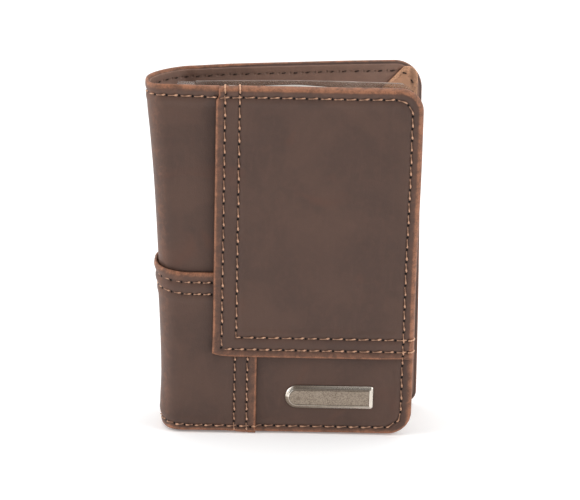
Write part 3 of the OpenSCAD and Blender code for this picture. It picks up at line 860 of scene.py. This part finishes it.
def metal_material(name, light, deep):
    """Brushed-looking metal, lightened by painted highlights and darkened by patina in its recesses and by
    painted shade.
    """
    n = Nodes(name)
    grain = n.noise(scale=3.0, detail=5, rough=0.75)
    slow = n.noise(scale=0.28, detail=3, rough=0.6)
    fine = n.noise(scale=11.0, detail=3, rough=0.7)
    c = n.mix(n.span(grain, low=0.34, high=0.64), deep, light)
    c = n.layer(c, slow, low=0.4, high=0.7, amount=0.25, colour=tint(light, 1.08))
    # painted highlight, near white
    c = n.mix(n.times(n.attr("wear_and_highlight"), 0.8, clamp=True), c, (246, 238, 226))
    # patina in the groove, and painted shade
    c = n.mix(n.times(n.attr("dark"), 0.85, clamp=True), c, (62, 48, 40))
    r = n.span(grain, low=0.3, high=0.7, to_low=0.42, to_high=0.28)
    r = n.minus(n.plus(r, n.times(fine, 0.10)), n.times(n.attr("wear_and_highlight"), 0.24))
    normal = n.bump(fine, mm=0.02, strength=0.4, normal=n.bump(grain, mm=0.05, strength=0.5))
    return n.set(Base_Color=c, Roughness=r, Normal=normal, Metallic=0.95)


def vinyl_material():
    """Clear film: mostly see-through, with more sheen at a glance, and painted sheen at welds and at rims.
    """
    n = Nodes("clear_vinyl")
    clear = n.tree.nodes.new("ShaderNodeBsdfTransparent")
    clear.inputs[0].default_value = (0.985, 0.982, 0.978, 1)
    slow = n.noise(scale=0.09, detail=3, rough=0.5, dist=0.5)
    fine = n.noise(scale=3.0, detail=3, rough=0.6)
    n.set(Base_Color=n.mix(n.span(slow, low=0.4, high=0.7), (182, 164, 156), (218, 205, 198)),
          Normal=n.bump(slow, mm=1.2, strength=0.4),
          Roughness=n.span(fine, low=0.3, high=0.7, to_low=0.10, to_high=0.20),
          Specular_IOR_Level=0.8)
    glance = n.tree.nodes.new("ShaderNodeLayerWeight")
    glance.inputs["Blend"].default_value = 0.25
    sheen = n.times(n.math("POWER", glance.outputs["Facing"], 3.0), 0.035)
    sheen = n.plus(sheen, 0.003)
    # painted sheen at welds and rims, and a painted highlight along the welded rims
    sheen = n.plus(sheen, n.times(n.attr("wear_and_highlight"), 0.035), clamp=True)
    sheen = n.plus(sheen, n.times(n.attr("edge"), 0.50), clamp=True)
    blend = n.tree.nodes.new("ShaderNodeMixShader")
    for i, socket in enumerate((sheen, clear.outputs[0], n.bsdf.outputs[0])):
        n.put(blend, i, socket)
    n.put(n.out, "Surface", blend.outputs[0])
    return n.material


def card_material():
    n = Nodes("card_stock")
    fibre = n.noise(scale=4.0, detail=4, rough=0.7, stretch=(1, 1, 0.5))
    slow = n.noise(scale=0.05, detail=2, rough=0.5)
    c = n.mix(n.span(fibre, low=0.3, high=0.75), (228, 226, 220), (246, 245, 241))
    c = n.layer(c, slow, low=0.4, high=0.7, amount=0.3, colour=(236, 232, 222))
    return n.set(Base_Color=c, Normal=n.bump(fibre, mm=0.02, strength=0.5),
                 Roughness=n.span(fibre, low=0.3, high=0.7, to_low=0.55, to_high=0.70))


def board_material():
    n = Nodes("grey_board")
    fibre = n.noise(scale=2.0, detail=5, rough=0.75, stretch=(1, 1, 0.6))
    c = n.mix(n.span(fibre, low=0.3, high=0.7), (128, 120, 110), (158, 150, 138))
    return n.set(Base_Color=c, Normal=n.bump(fibre, mm=0.08, strength=0.5),
                 Roughness=n.span(fibre, low=0.3, high=0.7, to_low=0.8, to_high=0.95))


MATERIALS = {
    "cover_leather": leather(
        "leather_brown", base=(92, 69, 59), deep=(82, 62, 54), tan=(148, 101, 76),
        red=(102, 69, 56), worn=1.0, rough=0.56, grain=1.0, pits=0.96),
    "lining_leather": leather(
        "leather_lining", base=(141, 111, 97), deep=(130, 102, 89), tan=(152, 117, 97),
        red=(138, 105, 91), worn=0.7, rough=0.66, grain=0.7, pits=0.0),
    # painted light: the pocket leather is painted far lighter than the lining, standing in for the light
    # that falls on the pocket by the fore-edge
    "pocket_leather": leather(
        "leather_pocket", base=(186, 140, 110), deep=(166, 126, 100), tan=(200, 152, 120),
        red=(178, 130, 102), worn=0.8, rough=0.60, grain=0.8, pits=0.0),
    "thread": thread_material("thread_tan", low=(196, 144, 110), high=(244, 196, 160),
                              end=(112, 74, 56), spec=0.5)}
INNER_THREAD = thread_material("thread_brown", low=(70, 51, 43), high=(88, 66, 56),
                               end=(46, 33, 28), spec=0.2)
MATERIALS.update(
    nameplate_metal=metal_material("metal_nickel", light=(164, 151, 136), deep=(116, 101, 88)),
    washer_metal=metal_material("metal_washer", light=(150, 150, 150), deep=(110, 110, 112)),
    clear_vinyl=vinyl_material(),
    card_stock=card_material(),
    board=board_material())
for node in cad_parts.values():
    for slot in node.material_slots:
        key = (slot.material.name if slot.material else "").split(".")[0]
        if key in MATERIALS:
            slot.material = MATERIALS[key]


# ------------------------------------------------------------------ the cover
def attach(ob, slot, nodes, carrier, material=None):
    """Dress a piece, hide the CAD nodes it replaces, and tie it to what carries it."""
    ob.data.materials.clear()
    ob.data.materials.append(material or MATERIALS[slot])
    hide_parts(*nodes)
    if callable(carrier):
        carrier(ob)
    else:
        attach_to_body(ob, carrier)


def mid_height(x, y):
    return tuple(to_metres(x, y, COVER_H / 2).tolist())


def front_fold(ob):
    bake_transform(ob, "spine", "front_cover", start=mid_height(-17.3, 7.6),
             end=mid_height(-10.6, 0.9))


def back_fold(ob):
    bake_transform(ob, "spine", "back_cover", start=mid_height(-20.2, 12.6),
             end=mid_height(-9.0, 28.2))


def base_thick(start):
    """Base leather: thin round the spine, thicker on the cover from start on."""
    return lambda k, z: 1.05 + 0.75 * smooth(start, start + 5.0, k)


def lining_face(start):
    """Offset of the lining's inner face, which steps in over the board from start on."""
    return lambda k, z: -(1.33 + (2.06 - 1.33) * smooth(start, start + 5.0, k))


def wrap_thick(base):
    """Lower wrap: it goes round the base leather at its foot."""
    return lambda k, z: 0.95 + (base(k, z) - 0.12) * (1 - smooth(3.0, 9.0, z))


front_thick, back_thick = base_thick(-13.0), base_thick(BACK_AT - 3.0)
front_lining, back_lining = lining_face(-12.5), lining_face(BACK_AT - 3.5)


def spine_wear_and_highlight(w):
    """Lighter tan on the round of the spine: rubbed leather, and a painted highlight where side light falls
    on the round.
    """
    return 0.26 * smooth(-13.0, -19.5, w) * (1 - 0.5 * smooth(-24.0, -34.0, w))


def rim(d):
    """Wear near a turned-over rim: strong on the crest, fading before the seam."""
    return 0.68 * fade(d - 0.9, 0.9, 1.3)


# overlay panel: the upper part of the front cover
def overlay_thick(k, z):
    at_rim = np.maximum(smooth(FRONT_W - 12, FRONT_W - 5, k),
                        smooth(COVER_H - 12, COVER_H - 5, z))
    return OVERLAY_THIN + (OVERLAY_RIM - OVERLAY_THIN) * at_rim


def overlay_flare(k, z):
    """The lower left corner stands off a little."""
    return (0.50 * np.exp(-((k / 5.0) ** 2 + ((z - OVERLAY_Z) / 6.0) ** 2))
            + 0.25 * bell(k, 2.2) * smooth(40, 60, z))


def overlay_warp(k, z):
    """The left edge draws in at the top, and the lower left corner lifts."""
    above = z - OVERLAY_Z
    return (k + 0.75 * smooth(COVER_H - 4.4, COVER_H - 3.0, z) * fade(k, 2.5)
            - 0.25 * fade(above, 5.0, 2) * fade(k, 3.0),
            z + 1.15 * fade(k, 2.6) * fade(above, 2.2))


def overlay_wear(k, z):
    above, from_far, from_top = z - OVERLAY_Z, FRONT_W - k, COVER_H - z
    return most(fade(k - 0.1, 0.7, 1.5), 0.34 * fade(k, 3.0, 3),
                0.80 * fade(above + 0.4, 1.0, 1.5), 0.42 * fade(above + 0.5, 2.8, 3),
                rim(from_far), rim(from_top),
                0.26 * bell(np.minimum(from_far, from_top), 3.6, 3))


attach(sheet("overlay_panel_leather", 0.0, FRONT_W, OVERLAY_Z - 0.50, COVER_H,
             out=OVERLAY_OUT, thick=overlay_thick, step=0.38, turn=(0.45, 0.5, 0.45, 0.5),
             corners=(0, 7.5), seams=OVERLAY_MAP, extra=overlay_flare, seed=1.0,
             flat_inside=True, warp=overlay_warp, wear_and_highlight_map=overlay_wear),
       "cover_leather", ["front_overlay_panel"], "front_cover")


# upper leather: between the overlay and mid-spine
def swell(k, z):
    """The base leather comes up to meet the overlay where the edge seam presses both."""
    return (1.0 * bell(np.minimum(k, 0), 3.2)
            * smooth(COVER_H - 8.0, COVER_H - 2.5, z))


attach(sheet("upper_leather_front", -MID_SPINE, 0.9, WRAP_Z - 3.5, COVER_H, out=swell,
             thick=lambda k, z: front_thick(k, z) + swell(k, z), turn=(0, 0, 0, 0.75),
             seams=EDGE_MAP, uneven=0.10, seed=2.0,
             wear_and_highlight_map=lambda k, z: most(rim(COVER_H - z), 0.26 * bell(COVER_H - z, 3.6, 3),
                                        spine_wear_and_highlight(k)),
             shade=lambda k, z: (0.40 * fade(-k, 2.2) * smooth(COVER_H, COVER_H - 5, z)
                                 + 0.30 * fade(z - WRAP_Z, 1.0))),
       "cover_leather", ["front_upper_leather"], front_fold)

# lower leather: below the overlay, to the right of the wrap
attach(sheet("lower_leather_front", 9.0, FRONT_W, -0.50, OVERLAY_Z + 1.6, out=0.0, thick=1.8,
             turn=(0, 0.5, 0.5, 0), corners=(7.5, 0), seams=EDGE_MAP, seed=3.0,
             wear_and_highlight_map=lambda k, z: np.maximum(rim(FRONT_W - k), 0.75 * rim(z + 0.5)),
             shade=lambda k, z: (0.25 * fade(OVERLAY_Z - z, 1.1)
                                 + 0.25 * fade(k - WRAP_X, 1.1)),
             flat_inside=True),
       "cover_leather", ["front_lower_leather"], "front_cover")


# lower wrap: a strip round the foot of the spine and on to both covers
def bulge(k, z):
    """The wrap's upper edge stands out, most of all on the spine."""
    below = WRAP_Z - z
    return (0.28 * bell(below - 1.1, 1.0)
            + 0.40 * smooth(4.0, 16.0, np.abs(k)) * bell(below - 3.6, 4.6))


# rubbed edges of the front wrap, with the painted highlight on the round of the spine
def wrap_wear_and_highlight_front(k, z):
    below, from_end = WRAP_Z - z, WRAP_X - k
    return most(0.90 * fade(below - 0.5, 1.3, 1.6), fade(from_end - 0.1, 0.7, 1.5),
                0.36 * fade(from_end, 3.2, 3), 0.75 * rim(z + 0.4),
                0.26 * bell(z + 0.4, 3.4, 3), 0.34 * fade(below, 4.4, 3), spine_wear_and_highlight(k))


attach(sheet("lower_wrap_front", -MID_SPINE, WRAP_X, -0.40, WRAP_Z - 0.35, out=WRAP_OUT,
             thick=wrap_thick(front_thick), turn=(0, 0.45, 0.5, 0.45), seams=WRAP_MAP,
             seed=4.0, wear_and_highlight_map=wrap_wear_and_highlight_front, extra=bulge,
             warp=lambda k, z: (
                 k, z - 0.55 * smooth(6.0, 0.0, z) * smooth(4.0, WRAP_X - 1.0, k)),
             shade=lambda k, z: np.maximum(
                 0.40 * fade(-k, 2.2) * smooth(OVERLAY_Z - 1, OVERLAY_Z + 3, z),
                 0.25 * fade(OVERLAY_Z - z, 1.1) * (k > 0))),
       "cover_leather", ["front_lower_wrap"], front_fold)

# back leather: from mid-spine to the far edge of the back cover
attach(sheet("back_leather_soft", MID_SPINE, BACK_END, -0.40, COVER_H, sgn=-1, out=0.0,
             thick=back_thick, step=0.50, corners=(4.0, 9.5), seams=BACK_MAP, uneven=0.10,
             seed=5.0,
             crest=lambda k: np.interp(k, [BACK_AT - 4, BACK_AT + 26], [2.95, 1.98]),
             wear_and_highlight_map=lambda k, z: most(rim(BACK_END - k), rim(COVER_H - z),
                                        0.75 * rim(z + 0.4), spine_wear_and_highlight(-k))),
       "cover_leather", ["back_leather", "spine_leather"], back_fold)

BACK_WRAP_END = BACK_AT + 20.9


# rubbed edges of the back wrap, with the painted highlight on the round of the spine
def wrap_wear_and_highlight_back(k, z):
    return most(0.95 * fade(WRAP_Z - z - 0.3, 1.1, 1.6),
                fade(BACK_WRAP_END - k - 0.1, 0.7, 1.5), rim(z + 0.4), spine_wear_and_highlight(-k))


def bulge_back(k, z):
    """As on the front, but the spine's share dies away past mid-spine."""
    return bulge(k, z) - (0.40 * smooth(4.0, 16.0, k) * bell(WRAP_Z - z - 3.6, 4.6)
                          * smooth(MID_SPINE + 3, MID_SPINE + 16, k))


attach(sheet("lower_wrap_back", MID_SPINE, BACK_WRAP_END, -0.40, WRAP_Z - 0.35, sgn=-1,
             out=WRAP_OUT, thick=wrap_thick(back_thick), step=0.42,
             turn=(0, 0.45, 0.5, 0.45), seams=BACK_WRAP_MAP, seed=6.0,
             wear_and_highlight_map=wrap_wear_and_highlight_back, extra=bulge_back),
       "cover_leather", ["back_lower_wrap", "spine_lower_wrap"], back_fold)

# linings: the inner face is the one to see
LINING = dict(thick=0.42, side=-1, step=0.62, groove=0.10, hole=0.10, puff=0.05, uneven=0.05,
              wear_and_highlight=0.2)
LINING_TOP = COVER_H - 1.0
attach(sheet("lining_front", -MID_SPINE, FRONT_W - 1.1, 0.7, LINING_TOP, out=front_lining,
             corners=(6.3, 6.3), seams=EDGE_MAP, seed=7.0, band=0.8, **LINING),
       "lining_leather", ["front_lining"], front_fold)


def lining_wear(k, z):
    from_top = LINING_TOP - z
    return np.maximum(
        0.2 * fade(np.minimum(from_top, BACK_END - 1.1 - k), 0.8, 1.6),
        0.85 * fade(from_top, 0.55, 2) * (1 - smooth(BACK_AT - 3, BACK_AT + 20, k)))


attach(sheet("lining_back", MID_SPINE, BACK_END - 1.1, 0.7, LINING_TOP, sgn=-1,
             out=back_lining, corners=(3.2, 8.4), seams=BACK_MAP, seed=8.0,
             wear_and_highlight_map=lining_wear, **LINING),
       "lining_leather", ["back_lining", "spine_lining"], back_fold)

# boards inside both covers; the front one stops short of the fold
BOARD = dict(out=-0.55, thick=0.7, step=2.5, turn=(0.1,) * 4, uneven=0.0, rings=3, wear_and_highlight=0.0)
attach(sheet("board_back", BACK_AT + 1.5, BACK_END - 1.9, 1.6, COVER_H - 1.9, sgn=-1,
             corners=(2.8, 8.0), **BOARD),
       "board", ["back_board"], "back_cover")
attach(sheet("board_front", -8.6, FRONT_W - 1.9, 1.6, COVER_H - 1.9, corners=(5.6, 5.6),
             **BOARD),
       "board", ["front_board"], "front_cover")

# pockets on the inner sides of both covers
POCKET_FRONT_OUT, POCKET_BACK_OUT = -3.0, -2.85
attach(sheet("pocket_front", 26.0, FRONT_W - 1.9, 2.0, COVER_H - 2.0, out=POCKET_FRONT_OUT,
             thick=0.78, side=-1, step=0.9, turn=(0.5,) * 4, corners=(5.6, 5.6), groove=0.1,
             uneven=0.05, seed=9.0, band=1.6, seams=EDGE_MAP, hole=0.1, puff=0.04,
             flat_inside=True),
       "pocket_leather", ["front_pocket"], "front_cover")
POCKET_NEAR, POCKET_LOW, POCKET_TOP = BACK_AT + 6.0, 2.0, COVER_H - 1.7


def mouth(k):
    """Height of the back pocket's sloping upper edge."""
    return POCKET_TOP - np.maximum(BACK_END - 6.5 - k, 0.0)


def pocket_warp(k, z):
    return k, (POCKET_LOW + (z - POCKET_LOW) * (mouth(k) - POCKET_LOW)
               / (POCKET_TOP - POCKET_LOW))


def pocket_shade(k, z):
    """A dark line down the edge seam near the top, and a softer dark beyond it."""
    lean = 0.9 * smooth(COVER_H - 12, COVER_H - 2, z)
    return 0.42 * smooth(COVER_H - 20, COVER_H - 12, z) * np.maximum(
        bell(k - (back_x + 0.1 - lean), 0.42),
        0.55 * smooth(back_x - 0.4, back_x + 0.4, k + lean))


attach(sheet("pocket_back", POCKET_NEAR, BACK_END - 1.9, POCKET_LOW, POCKET_TOP, sgn=-1,
             out=POCKET_BACK_OUT, thick=0.70, side=-1, step=0.8, turn=(0.5,) * 4,
             corners=(2.8, 3.5), uneven=0.05, seed=10.0, band=3.0, warp=pocket_warp,
             seams=BACK_MAP, groove=0.16, hole=0.0, puff=0.04, shade=pocket_shade),
       "pocket_leather", ["back_pocket"], "back_cover")


# ------------------------------------------------------------------ threads
def front_face(w, z):
    """Offset of the topmost leather on the front and round the spine."""
    return np.where((w > -0.4) & (z > OVERLAY_Z - 0.5), OVERLAY_OUT,
                    np.where((z < WRAP_Z + 0.4) & (w < WRAP_X + 0.4), WRAP_OUT, swell(w, z)))


def back_face(w, z):
    return np.where((z < WRAP_Z + 0.4) & (w > -BACK_WRAP_END - 0.4), WRAP_OUT, 0.0)


def front_inside(w, z):
    return np.where(w > 25.6, POCKET_FRONT_OUT, front_lining(w, z))


def back_inside(w, z):
    return np.where((z < mouth(-w) - 0.2) & (-w > POCKET_NEAR), POCKET_BACK_OUT,
                    back_lining(-w, z))


def thread(name, rows, nodes, back=False, fold=False, inner=False, over=()):
    """Stitch rows of (path, offset of the leather), on a cover or on its fold."""
    limit = BACK_FOLD if back else FRONT_FOLD
    span = (-math.inf, limit) if fold else (limit, math.inf)
    obs = [stitches(path, out, -1 if back else 1, inner, span, over) for path, out in rows]
    ob = obs[0] if len(obs) == 1 else join(name, obs)
    ob.name = name
    if fold:
        carrier = back_fold if back else front_fold
    else:
        carrier = "back_cover" if back else "front_cover"
    attach(ob, "thread", nodes, carrier, INNER_THREAD if inner else None)


thread("edge_stitches_front", [(EDGE, front_face)], ["front_edge_thread"])
thread("edge_stitches_front_fold", [(EDGE, front_face)], ["spine_edge_threads"], fold=True)
thread("overlay_stitches_outer", [(OVERLAY_OUTER, OVERLAY_OUT)], ["overlay_outer_thread"],
       over=(over_top(2.85, seed=1), over_side(OVERLAY_Z + 2.1, seed=2)))
thread("overlay_stitches_inner", [(OVERLAY_INNER, OVERLAY_OUT)], ["overlay_inner_thread"],
       over=(over_top(7.35, seed=3), over_side(OVERLAY_Z + 6.1, seed=4)))
thread("wrap_stitches_outer", [(WRAP_OUTER, WRAP_OUT), (WRAP_END_OUTER, WRAP_OUT)],
       ["wrap_outer_thread"])
thread("wrap_stitches_inner", [(WRAP_INNER, WRAP_OUT), (WRAP_END_INNER, WRAP_OUT)],
       ["wrap_inner_thread"])
thread("wrap_stitches_fold", [(WRAP_OUTER, WRAP_OUT), (WRAP_INNER, WRAP_OUT)],
       ["spine_wrap_threads"], fold=True)
back_wrap_rows = [(BACK_WRAP_OUTER, WRAP_OUT), (BACK_WRAP_INNER, WRAP_OUT)]
thread("edge_stitches_back", [(BACK_EDGE, back_face)], ["back_edge_thread"], back=True)
thread("wrap_stitches_back", back_wrap_rows, ["back_wrap_threads"], back=True)
thread("stitches_back_fold", [(BACK_EDGE, back_face)] + back_wrap_rows,
       ["spine_edge_threads", "spine_wrap_threads"], back=True, fold=True)
# the edge seams on the inner side
for where, row, back in (("front", (EDGE, front_inside), False),
                         ("back", (BACK_EDGE, back_inside), True)):
    thread("inner_stitches_" + where, [row], [where + "_pocket_thread"], back=back,
           inner=True)
    thread("inner_stitches_%s_fold" % where, [row], ["spine_edge_threads"], back=back,
           fold=True, inner=True)


# ------------------------------------------------------------------ the insert
LEAF_LOW, LEAF_TOP, LEAF_FAR = 1.2, 112.6, 61.9
LEAF_Y, LEAF_PITCH = 5.15, 0.62            # depth of the first sleeve, and from each to the next
LEAVES = range(1, 13)
CARD_H = 89.0
BINDING_X = -12.3                          # left edge of the binding
FLAP_LOW, FLAP_TOP = 6.0, 108.0
# x, how far the last sleeve bows away from the front cover
LAST_BOW = np.array([
    (-13, 0.0), (-6.9, 0.15), (4, 1.35), (15, 2.5), (26, 3.2), (34, 3.35), (41, 3.2),
    (51, 2.75), (57, 2.3), (63, 1.9)])


def binding_y(n):
    return LEAF_Y + LEAF_PITCH * (n - 1)


def leaf_y(n):
    """Where sleeve n lies: straight at the binding, then bowed away from the front cover."""
    def depth(x, z):
        share = (n - 1) / 11.0
        last = np.interp(x, *LAST_BOW.T)
        first = 2.2 * bell(x - 25.0, 7.5)
        up = 0.35 + 0.65 * smooth(15, 112, z)
        return (binding_y(n)
                + up * (first * (1 - share) ** 2 + last * share) * smooth(-6.9, -1.0, x)
                + 0.05 * np.sin(0.11 * x + n) * smooth(-6.9, 8.0, x))
    return depth


def standing(depth):
    """Placer for a sheet that stands at y = depth, with offsets counted towards the front."""
    depth = as_field(depth)

    def put(x, z, h):
        x, z, h = np.broadcast_arrays(*(np.asarray(v, float) for v in (x, z, h)))
        return to_metres(x, depth(x, z) - h, z)
    return put


def film_out(side):
    """The two films of a sleeve part inside their welds."""
    def out(k, z):
        inside = np.minimum(np.minimum(k + 6.0, 60.4 - k), z - 4.0)
        return side * (0.085 + 0.15 * smooth(0.0, 2.2, inside))
    return out


# painted sheen along a sleeve film's welds and rims
def film_weld_and_rim_sheen(k, z):
    weld = most(bell(k + 5.2, 0.5), bell(k - 60.2, 0.5), bell(z - 4.0, 0.5))
    rims = np.maximum(fade(LEAF_FAR - k - 0.2, 0.25), fade(LEAF_TOP - z - 0.2, 0.25))
    return np.maximum(0.5 * weld, rims)


def rim_light(ob, strength):
    """Painted highlight along the welded rims, kept in the edge attribute."""
    v = np.zeros(len(ob.data.vertices) * 3)
    ob.data.vertices.foreach_get("co", v)
    v = v.reshape(-1, 3) / MM
    edge = np.maximum(fade(LEAF_TOP - v[:, 2] - 0.05, 0.22),
                      0.6 * fade(LEAF_FAR - (v[:, 0] - ORIGIN_X) - 0.1, 0.25))
    layer = ob.data.attributes.new("edge", "FLOAT", "POINT")
    layer.data.foreach_set("value", (edge * strength).astype(np.float32))


for n in LEAVES:
    films = [sheet("film", -6.7, LEAF_FAR, LEAF_LOW, LEAF_TOP, out=film_out(side), thick=0.13,
                   side=side, step=2.1, corners=(3.0, 4.6), uneven=0.015, seed=n + side,
                   rings=4, placer=standing(leaf_y(n)), wear_and_highlight_map=film_weld_and_rim_sheen)
             for side in (1, -1)]
    ob = join("sleeve_%02d_film" % n, films)
    if n in (LEAVES[0], LEAVES[-1]):
        rim_light(ob, 1.0 if n == LEAVES[-1] else 0.45)
    attach(ob, "clear_vinyl", ["sleeve_%02d" % n], "leaf_%02d" % n)

for card, n in enumerate((1, 2, 3, 5, 6, 8, 9, 11), 1):
    x0, x1, z0, _ = box_mm("card_%02d" % card)
    low = z0 + (1.55 if card == 1 else -1.5 - 0.5 * float(hash01(card, 4)))
    attach(sheet("card_%02d_plain" % card, x0, x1, low, low + CARD_H, out=0.11, thick=0.22,
                 step=1.6, turn=(0.15,) * 4, uneven=0.01, seed=float(card), rings=4,
                 placer=standing(leaf_y(n)), wear_and_highlight=0.0),
           "card_stock", ["card_%02d" % card], "leaf_%02d" % n)

# the sleeves' welded left-hand strips; the first few are narrower
welds = [sheet("weld", BINDING_X + max(0.0, 1.6 - 0.4 * (n - 1)), -7.0,
               LEAF_LOW + 0.1 * float(hash01(n, 1)), LEAF_TOP - 0.25 * float(hash01(n, 2)),
               out=0.29, thick=0.56, step=0.9, turn=(0.4, 0, 0.4, 0.4), uneven=0.02,
               seed=float(n), rings=5, placer=standing(binding_y(n)),
               # painted sheen along a line on the strip and at its top
               wear_and_highlight_map=lambda k, z: np.maximum(fade(np.abs(k + 9.8), 0.4),
                                                0.8 * fade(LEAF_TOP - z - 0.3, 0.3)))
         for n in LEAVES]
ob = join("insert_binding_welds", welds)
rim_light(ob, 0.5)
attach(ob, "clear_vinyl", ["insert_binding"], "front_cover")

attach(sheet("insert_tuck_flap_film", BINDING_X, 57.6, FLAP_LOW, FLAP_TOP, out=0.12,
             thick=0.24, step=2.2, turn=(0.5,) * 4, corners=(5.0, 5.0), uneven=0.01,
             seed=2.0, rings=4, placer=standing(3.895),
             # painted sheen along the flap's lower and upper edges
             wear_and_highlight_map=lambda k, z: fade(np.minimum(z - FLAP_LOW, FLAP_TOP - z) - 0.2, 0.3)),
       "clear_vinyl", ["insert_tuck_flap"], "front_cover")

# ------------------------------------------------------------------ nameplate
# inset from the outline, offset from the base leather
PLATE_PROFILE = [
    (0.0, -0.12), (0.0, 0.20), (0.06, 0.34), (0.30, 0.52), (0.65, 0.76), (1.00, 0.99),
    (1.14, 1.06), (1.22, 1.08), (1.27, 1.05), (1.33, 0.98), (1.41, 0.98), (1.47, 1.04),
    (1.54, 1.06), (1.8, 1.07), (2.2, 1.07)]


def nameplate(name):
    """A plate with a half-round left end, a bevel and a fine groove inside it."""
    x0, x1, z0, z1 = box_mm("nameplate")
    radius, mid_z = (z1 - z0) / 2, (z0 + z1) / 2
    round_x = x0 + radius

    def arc(cx, cz, r, start, end, count):
        return [(cx + r * math.cos(a), cz + r * math.sin(a))
                for a in np.linspace(start, end, count)]

    def outline(inset):
        r = max(0.95 - 0.75 * inset, 0.30)
        x = x1 - inset - r
        return np.array(
            arc(round_x, mid_z, radius - inset, math.pi / 2, 3 * math.pi / 2, 41)
            + arc(x, z0 + inset + r, r, -math.pi / 2, 0.0, 11)
            + arc(x, z1 - inset - r, r, 0.0, math.pi / 2, 11))

    verts, faces, wear_and_highlight, dark = [], [], [], []
    count = len(outline(0))
    for inset, out in PLATE_PROFILE:
        x, z = outline(inset).T
        ripple = 0.012 * np.sin(np.arange(count) * 1.7 + inset * 9) * (0.2 < inset < 1.2)
        verts.extend(place(x, z, out + ripple))
        up = np.maximum(0.0, (z - mid_z) / radius) * np.clip(1 - (round_x - x) / 2.2, 0, 1)
        on_bevel = 0.8 * (0.05 < inset < 1.3)
        # painted highlights: on the right-hand bevel, on the upper left of the round end and along the
        # bevel's crest, less towards the top
        wear_and_highlight.extend(0.45 * bell(inset - 1.15, 0.12) * (1 - up) + on_bevel * (x > x1 - 1.25)
                    + on_bevel * (x < x0 + 2.6) * (z > mid_z))
        # patina in the fine groove; darker at the plate's foot; painted shade on the upper part of the round
        # end's bevel
        dark.extend(0.80 * bell(inset - 1.37, 0.07) + (0.7 if out < 0.21 else 0.0)
                    + 0.20 * up * (0.02 < inset < 1.2))
    last = (len(PLATE_PROFILE) - 1) * count
    for a in range(0, last, count):
        for i in range(count):
            j = (i + 1) % count
            faces.append((a + i, a + j, a + count + j, a + count + i))
    faces.append(tuple(last + i for i in range(count)))
    faces.append(tuple(reversed(range(count))))
    return mesh_object(name, verts, faces, {"wear_and_highlight": wear_and_highlight, "dark": dark})


attach(nameplate("nameplate_blank"), "nameplate_metal", ["nameplate"], "front_cover")

# ------------------------------------------------------------------ floor and world
n = Nodes("floor_white")
cloud = n.span(n.noise(scale=0.01, detail=2, rough=0.5), low=0.3, high=0.7)
n.set(Base_Color=n.mix(cloud, (0.90, 0.90, 0.90, 1), (0.92, 0.92, 0.92, 1)), Roughness=0.7,
      Specular_IOR_Level=0.1, Emission_Color=(1, 1, 1, 1), Emission_Strength=0.20)
bpy.ops.mesh.primitive_plane_add(size=8, location=(0, 2.0, -0.95 * MM))
floor = bpy.context.object
floor.name = "floor"
floor.data.materials.append(n.material)

# a white room, darker behind the camera
world = bpy.data.worlds.new("studio")
bpy.context.scene.world = world
world.use_nodes = True
tree = world.node_tree
background = tree.nodes["Background"]
coords = tree.nodes.new("ShaderNodeTexCoord")
split = tree.nodes.new("ShaderNodeSeparateXYZ")
ramp = tree.nodes.new("ShaderNodeMapRange")
ramp.interpolation_type = "SMOOTHSTEP"
for key, v in (("From Min", -0.95), ("From Max", 0.05), ("To Min", 0.16), ("To Max", 1.0)):
    ramp.inputs[key].default_value = v
tree.links.new(coords.outputs["Generated"], split.inputs[0])
tree.links.new(split.outputs["Y"], ramp.inputs["Value"])
tree.links.new(ramp.outputs[0], background.inputs["Strength"])
background.inputs[0].default_value = (1, 1, 1, 1)


# ------------------------------------------------------------------ lights (metres, watts)
def lamp(name, location, target, size, power):
    light = bpy.data.lights.new(name, "AREA")
    light.shape, light.size, light.size_y = "RECTANGLE", size[0], size[1]
    light.energy = power
    ob = bpy.data.objects.new(name, light)
    bpy.context.scene.collection.objects.link(ob)
    ob.location = location
    aim = Vector(target) - Vector(location)
    ob.rotation_euler = aim.to_track_quat("-Z", "Y").to_euler()


lamp("left", location=(-0.85, -0.22, 0.45), target=(0, 0, 0.06), size=(0.5, 0.7), power=4.2)
lamp("right", location=(0.85, -0.35, 0.50), target=(0, 0, 0.06), size=(0.5, 0.7), power=3.6)
lamp("top", location=(0.0, 0.10, 1.0), target=(0, 0, 0.0), size=(0.9, 0.7), power=2.2)

# ------------------------------------------------------------------ camera
PITCH = math.radians(17.0)                 # looking down
YAW, ROLL = 0.00965, 0.02242               # radians
# the camera's place from the drawing frame's origin: right, up and forward before the roll
CAMERA_AT = np.array([23.93, 58.75, -872.06])
tilt = np.array([[1, 0, 0], [0, math.sin(PITCH), math.cos(PITCH)],
                 [0, math.cos(PITCH), -math.sin(PITCH)]])
swivel = np.array([[math.cos(YAW), -math.sin(YAW), 0], [math.sin(YAW), math.cos(YAW), 0],
                   [0, 0, 1]])
right, up, forward = axes = tilt @ swivel
spot = axes.T @ CAMERA_AT
right, up = (math.cos(ROLL) * right + math.sin(ROLL) * up,
             -math.sin(ROLL) * right + math.cos(ROLL) * up)
pose = np.eye(4)
pose[:3, :3] = np.column_stack([right, up, -forward])
pose[:3, 3] = to_metres(*spot)
lens = bpy.data.cameras.new("camera")
lens.sensor_width, lens.lens = 36.0, 168.405517
lens.clip_end = 20
camera = bpy.data.objects.new("camera", lens)
bpy.context.scene.collection.objects.link(camera)
camera.matrix_world = Matrix(pose.tolist())

scene = bpy.context.scene
scene.camera = camera
scene.view_settings.view_transform = "Standard"
scene.view_settings.look = "None"
scene.cycles.transparent_max_bounces = 96
scene.cycles.max_bounces = 10
scene.cycles.caustics_reflective = False
scene.cycles.caustics_refractive = False
